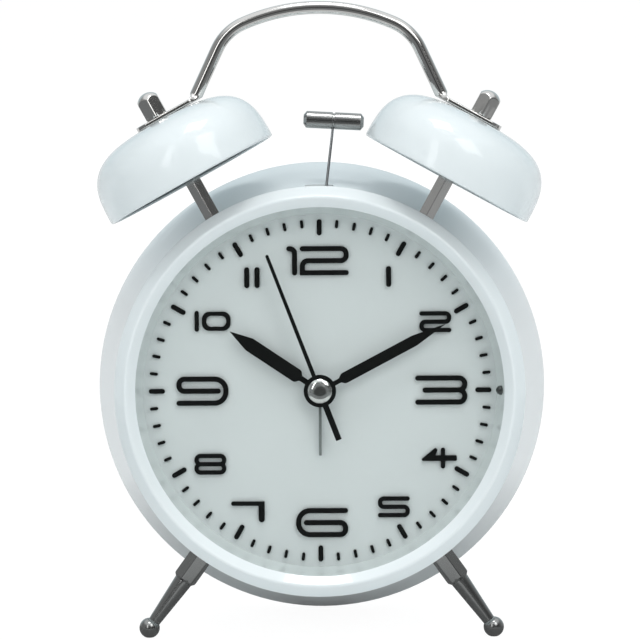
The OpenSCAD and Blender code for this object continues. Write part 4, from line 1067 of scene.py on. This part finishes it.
@dataclass
class RearControls:
    """Knobs, switch and button on the rear cover, and the battery bay behind its door."""

    controls: tuple[str, ...] = ("time_knob", "alarm_knob", "light_button", "alarm_switch")
    edge: float = 0.3
    cell_edge: float = 0.4

    def build(self, shop: Workshop) -> None:
        """Rounds the controls' edges and dresses the battery bay."""
        shop.soften(PALETTE.control, self.edge, *self.controls)
        shop.dress(PALETTE.shell, "battery_tray")
        shop.soften(PALETTE.jacket, self.cell_edge, "battery_cells")
        shop.dress(PALETTE.steel, "battery_contacts")


@dataclass
class Movement:
    """Quartz movement: its shell, train and stepper."""

    wheels: tuple[str, ...] = (
        "fifth_wheel", "third_wheel", "centre_wheel", "cannon_pinion", "intermediate_wheel",
        "hour_wheel", "alarm_wheel", "time_setting_pinion", "alarm_setting_pinion", "second_arbor")

    def build(self, shop: Workshop) -> None:
        """Dresses every piece of the movement."""
        shop.dress(PALETTE.wheels, *self.wheels)
        shop.dress(PALETTE.shell, "movement_housing", "movement_back")
        shop.dress(PALETTE.brass, "train_plate")
        shop.dress(PALETTE.steel, "dial_nut", "movement_screws", "stepper_stator", "stepper_rotor")
        shop.dress(PALETTE.copper, "stepper_coil")
        shop.dress(PALETTE.board, "circuit_board")


# Studio


@dataclass(frozen=True)
class Lamp:
    """Soft lamp that points at the clock's middle, in metres and watts."""

    name: str
    place: Triple
    power: float
    size: tuple[float, float]
    shows: bool = True
    target: Triple = (0.0, 0.0, 0.08)

    def build(self) -> None:
        """Adds the lamp; gloss and metal mirror it if it shows."""
        data = bpy.data.lights.new(self.name, "AREA")
        data.shape = "RECTANGLE"
        data.energy = self.power
        data.size, data.size_y = self.size
        lamp = bpy.data.objects.new(self.name, data)
        lamp.location = self.place
        aim = Vector(self.target) - Vector(self.place)
        lamp.rotation_euler = aim.to_track_quat("-Z", "Y").to_euler()
        lamp.visible_glossy = self.shows
        bpy.context.scene.collection.objects.link(lamp)


@dataclass
class Studio:
    """Floor, surroundings, lamps and camera; ramps go by place on the floor or by direction."""

    floor_half: float = 6.0
    paper: Colour = (0.93, 0.94, 0.94)
    # Grey of the painted shade that mirrors see on the floor
    dim: Colour = (0.12, 0.125, 0.13)
    cover: float = 0.9
    glare: float = 1.06
    rear_y: float = 0.08
    per_metre: float = 2.0
    path_shift: float = 0.75
    near_shift: float = 0.5
    path: Pairs = (
        (0.20, 0.10), (0.33, 0.16), (0.37, 0.70), (0.60, 0.62), (0.66, 0.16), (0.82, 0.16),
        (1.0, 0.78))
    near: Pairs = ((0.15, 0.0), (0.30, 1.0), (0.70, 1.0), (0.85, 0.35))
    cool: Colour = (0.97, 0.99, 1.0)
    white: Colour = (1.0, 1.0, 1.0)
    ceiling: Colour = (0.96, 0.98, 1.0)
    left: Pairs = (
        (0.006, 0.05), (0.02, 0.20), (0.12, 0.16), (0.27, 0.36), (0.36, 0.30), (0.60, 0.34))
    right: Pairs = ((0.006, 0.05), (0.02, 0.20), (0.12, 0.10), (0.28, 0.09), (0.60, 0.34))
    across: Pairs = ((0.35, 0.0), (0.65, 1.0))
    behind: Pairs = ((0.65, 0.0), (0.88, 1.0))
    above: Pairs = ((0.79, 0.0), (0.89, 1.0))
    wall: Ramp = (
        (0.49, (0.76, 0.78, 0.79)), (0.57, (0.64, 0.72, 0.75)), (0.605, (0.43, 0.54, 0.58)),
        (0.645, (0.58, 0.67, 0.71)))
    fill: Ramp = (
        (0.10, (0.66, 0.655, 0.65)), (0.48, (0.49, 0.54, 0.565)), (0.80, (0.40, 0.44, 0.46)))
    lamps: tuple[Lamp, ...] = (
        Lamp("key", (0.50, -0.80, 0.90), 2.5, (0.50, 0.60)),
        Lamp("strip", (-0.45, -1.0, 0.62), 1.0, (0.2, 0.7)),
        Lamp("top", (0.0, -0.22, 1.3), 5.2, (0.45, 0.45)),
        Lamp("rear", (0.0, 1.3, 0.45), 4.5, (0.8, 0.8), shows=False))
    aim: Triple = (0.2, 0.0, 18.1)
    distance: float = 750.0
    rise: float = 1.3
    swing: float = 0.7
    roll: float = 0.4
    focal: float = 168.75
    clip: float = 0.05

    def ray(self, graph: Graph, kind: str) -> Socket:
        """One for rays of a kind, such as those from the camera, and zero for others."""
        return graph.node("ShaderNodeLightPath", {}, {}, f"Is {kind} Ray")

    def seen(self, graph: Graph) -> Socket:
        """One for rays from the camera, also through clear pieces, and zero for others."""
        return self.ray(graph, "Camera") | self.ray(graph, "Transmission")

    def shades(self, graph: Graph, at: Socket, greys: Pairs) -> Socket:
        """Ramp of cool greys, picked by a value, from rows of position and level."""
        stops = [(place, tuple(c * grey for c in self.cool)) for place, grey in greys]
        return graph.node("ShaderNodeValToRGB", {"stops": stops}, {0: at})

    def floor(self, shop: Workshop) -> None:
        """Pale floor that the camera sees as white, and mirrors as patches of grey: painted shade, set by place on
        the floor, that darkens what the metal parts reflect.
        """
        side = np.linspace(-self.floor_half, self.floor_half, 9)
        across, along = np.meshgrid(side, side, indexing="ij")
        grid = Patch(np.stack([across, along, 0.0 * across], -1))
        piece = shop.link("floor", bpy.data.meshes.new("floor"))
        faces = grid.quads(0)[:, ::-1]
        piece.data.from_pydata(grid.points.reshape(-1, 3).tolist(), [], faces.tolist())
        made = bpy.data.materials.new("studio_floor")
        graph = Graph.fresh(made)
        x, y = (graph.node("ShaderNodeSeparateXYZ", {}, {0: graph.place()}, k) for k in "XY")
        path = self.shades(graph, y * self.per_metre + self.path_shift, self.path)
        near = self.shades(graph, x * self.per_metre + self.near_shift, self.near)
        # Painted shade for mirrors: the dim grey where the x ramp is low, the y ramp's greys elsewhere
        patches = graph.blend(near | (y > self.rear_y), self.dim, path)
        paper = graph.node("ShaderNodeBsdfDiffuse", {}, {"Color": (*self.paper, 1.0)})
        mirrored_shade = graph.node("ShaderNodeEmission", {}, {"Color": patches})
        bright = {"Color": (*self.white, 1.0), "Strength": self.glare}
        white = graph.node("ShaderNodeEmission", {}, bright)
        lit = graph.mix(self.cover * self.ray(graph, "Glossy"), paper, mirrored_shade)
        graph.output(graph.mix(self.cover * self.seen(graph), lit, white))
        piece.data.materials.append(made)

    def room(self, graph: Graph, x: Socket, y: Socket, z: Socket) -> Socket:
        """What mirrors see: a dim room in front, a paler wall behind and a bright ceiling."""
        left, right = (self.shades(graph, y, greys) for greys in (self.left, self.right))
        front = graph.blend(self.shades(graph, x, self.across), left, right)
        wall = graph.node("ShaderNodeValToRGB", {"stops": self.wall}, {0: z})
        walls = graph.blend(self.shades(graph, y, self.behind), front, wall)
        return graph.blend(self.shades(graph, z, self.above), walls, self.ceiling)

    def world(self) -> None:
        """Even light that the camera sees as white and mirrors as a room."""
        world = bpy.data.worlds.new("studio")
        graph = Graph.fresh(world)
        at = graph.node("ShaderNodeTexCoord", output="Generated")
        x, y, z = (
            graph.node("ShaderNodeSeparateXYZ", {}, {0: at}, k) * 0.5 + 0.5 for k in "XYZ")
        fill = graph.node("ShaderNodeValToRGB", {"stops": self.fill}, {0: y})
        dull, room, white = (
            graph.node("ShaderNodeBackground", {}, {"Color": colour})
            for colour in (fill, self.room(graph, x, y, z), (*self.white, 1.0)))
        lit = graph.mix(self.ray(graph, "Glossy"), dull, room)
        shown = graph.mix(self.seen(graph), lit, white)
        graph.node("ShaderNodeOutputWorld", {}, {"Surface": shown})
        bpy.context.scene.world = world

    def camera(self) -> None:
        """Camera at the photograph's angle, close to the drum's axis and slightly rolled."""
        drum = STAND.drum()
        x, d, z = (np.array(value) for value in self.aim)
        target = drum.place(x, z, d)
        swing, rise = np.radians([self.swing, self.rise])
        ahead = np.cos(rise) * np.cos(swing) * drum.w
        away = np.sin(swing) * drum.u - ahead + np.sin(rise) * drum.v
        data = bpy.data.cameras.new("camera")
        data.lens = self.focal
        data.clip_start = self.clip
        camera = bpy.data.objects.new("camera", data)
        camera.location = Vector(target + self.distance * MM * away)
        level = Vector(-away).to_track_quat("-Z", "Y")
        roll = Quaternion((0.0, 0.0, 1.0), -np.radians(self.roll))
        camera.rotation_euler = (level @ roll).to_euler()
        bpy.context.scene.collection.objects.link(camera)
        bpy.context.scene.camera = camera

    def build(self, shop: Workshop) -> None:
        """Sets the stage."""
        self.camera()
        self.floor(shop)
        self.world()
        for lamp in self.lamps:
            lamp.build()
        bpy.context.scene.view_settings.view_transform = "Standard"


def main() -> None:
    """Builds the clock piece by piece, then the studio."""
    logging.basicConfig(level=logging.INFO, format="%(name)s: %(message)s")
    shop = Workshop()
    for maker in (Case, Dial, Hands, Bells, Legs, Hammer, RearControls, Movement, Studio):
        LOG.info("building %s", maker.__name__)
        maker().build(shop)


if __name__ == "__main__":
    main()
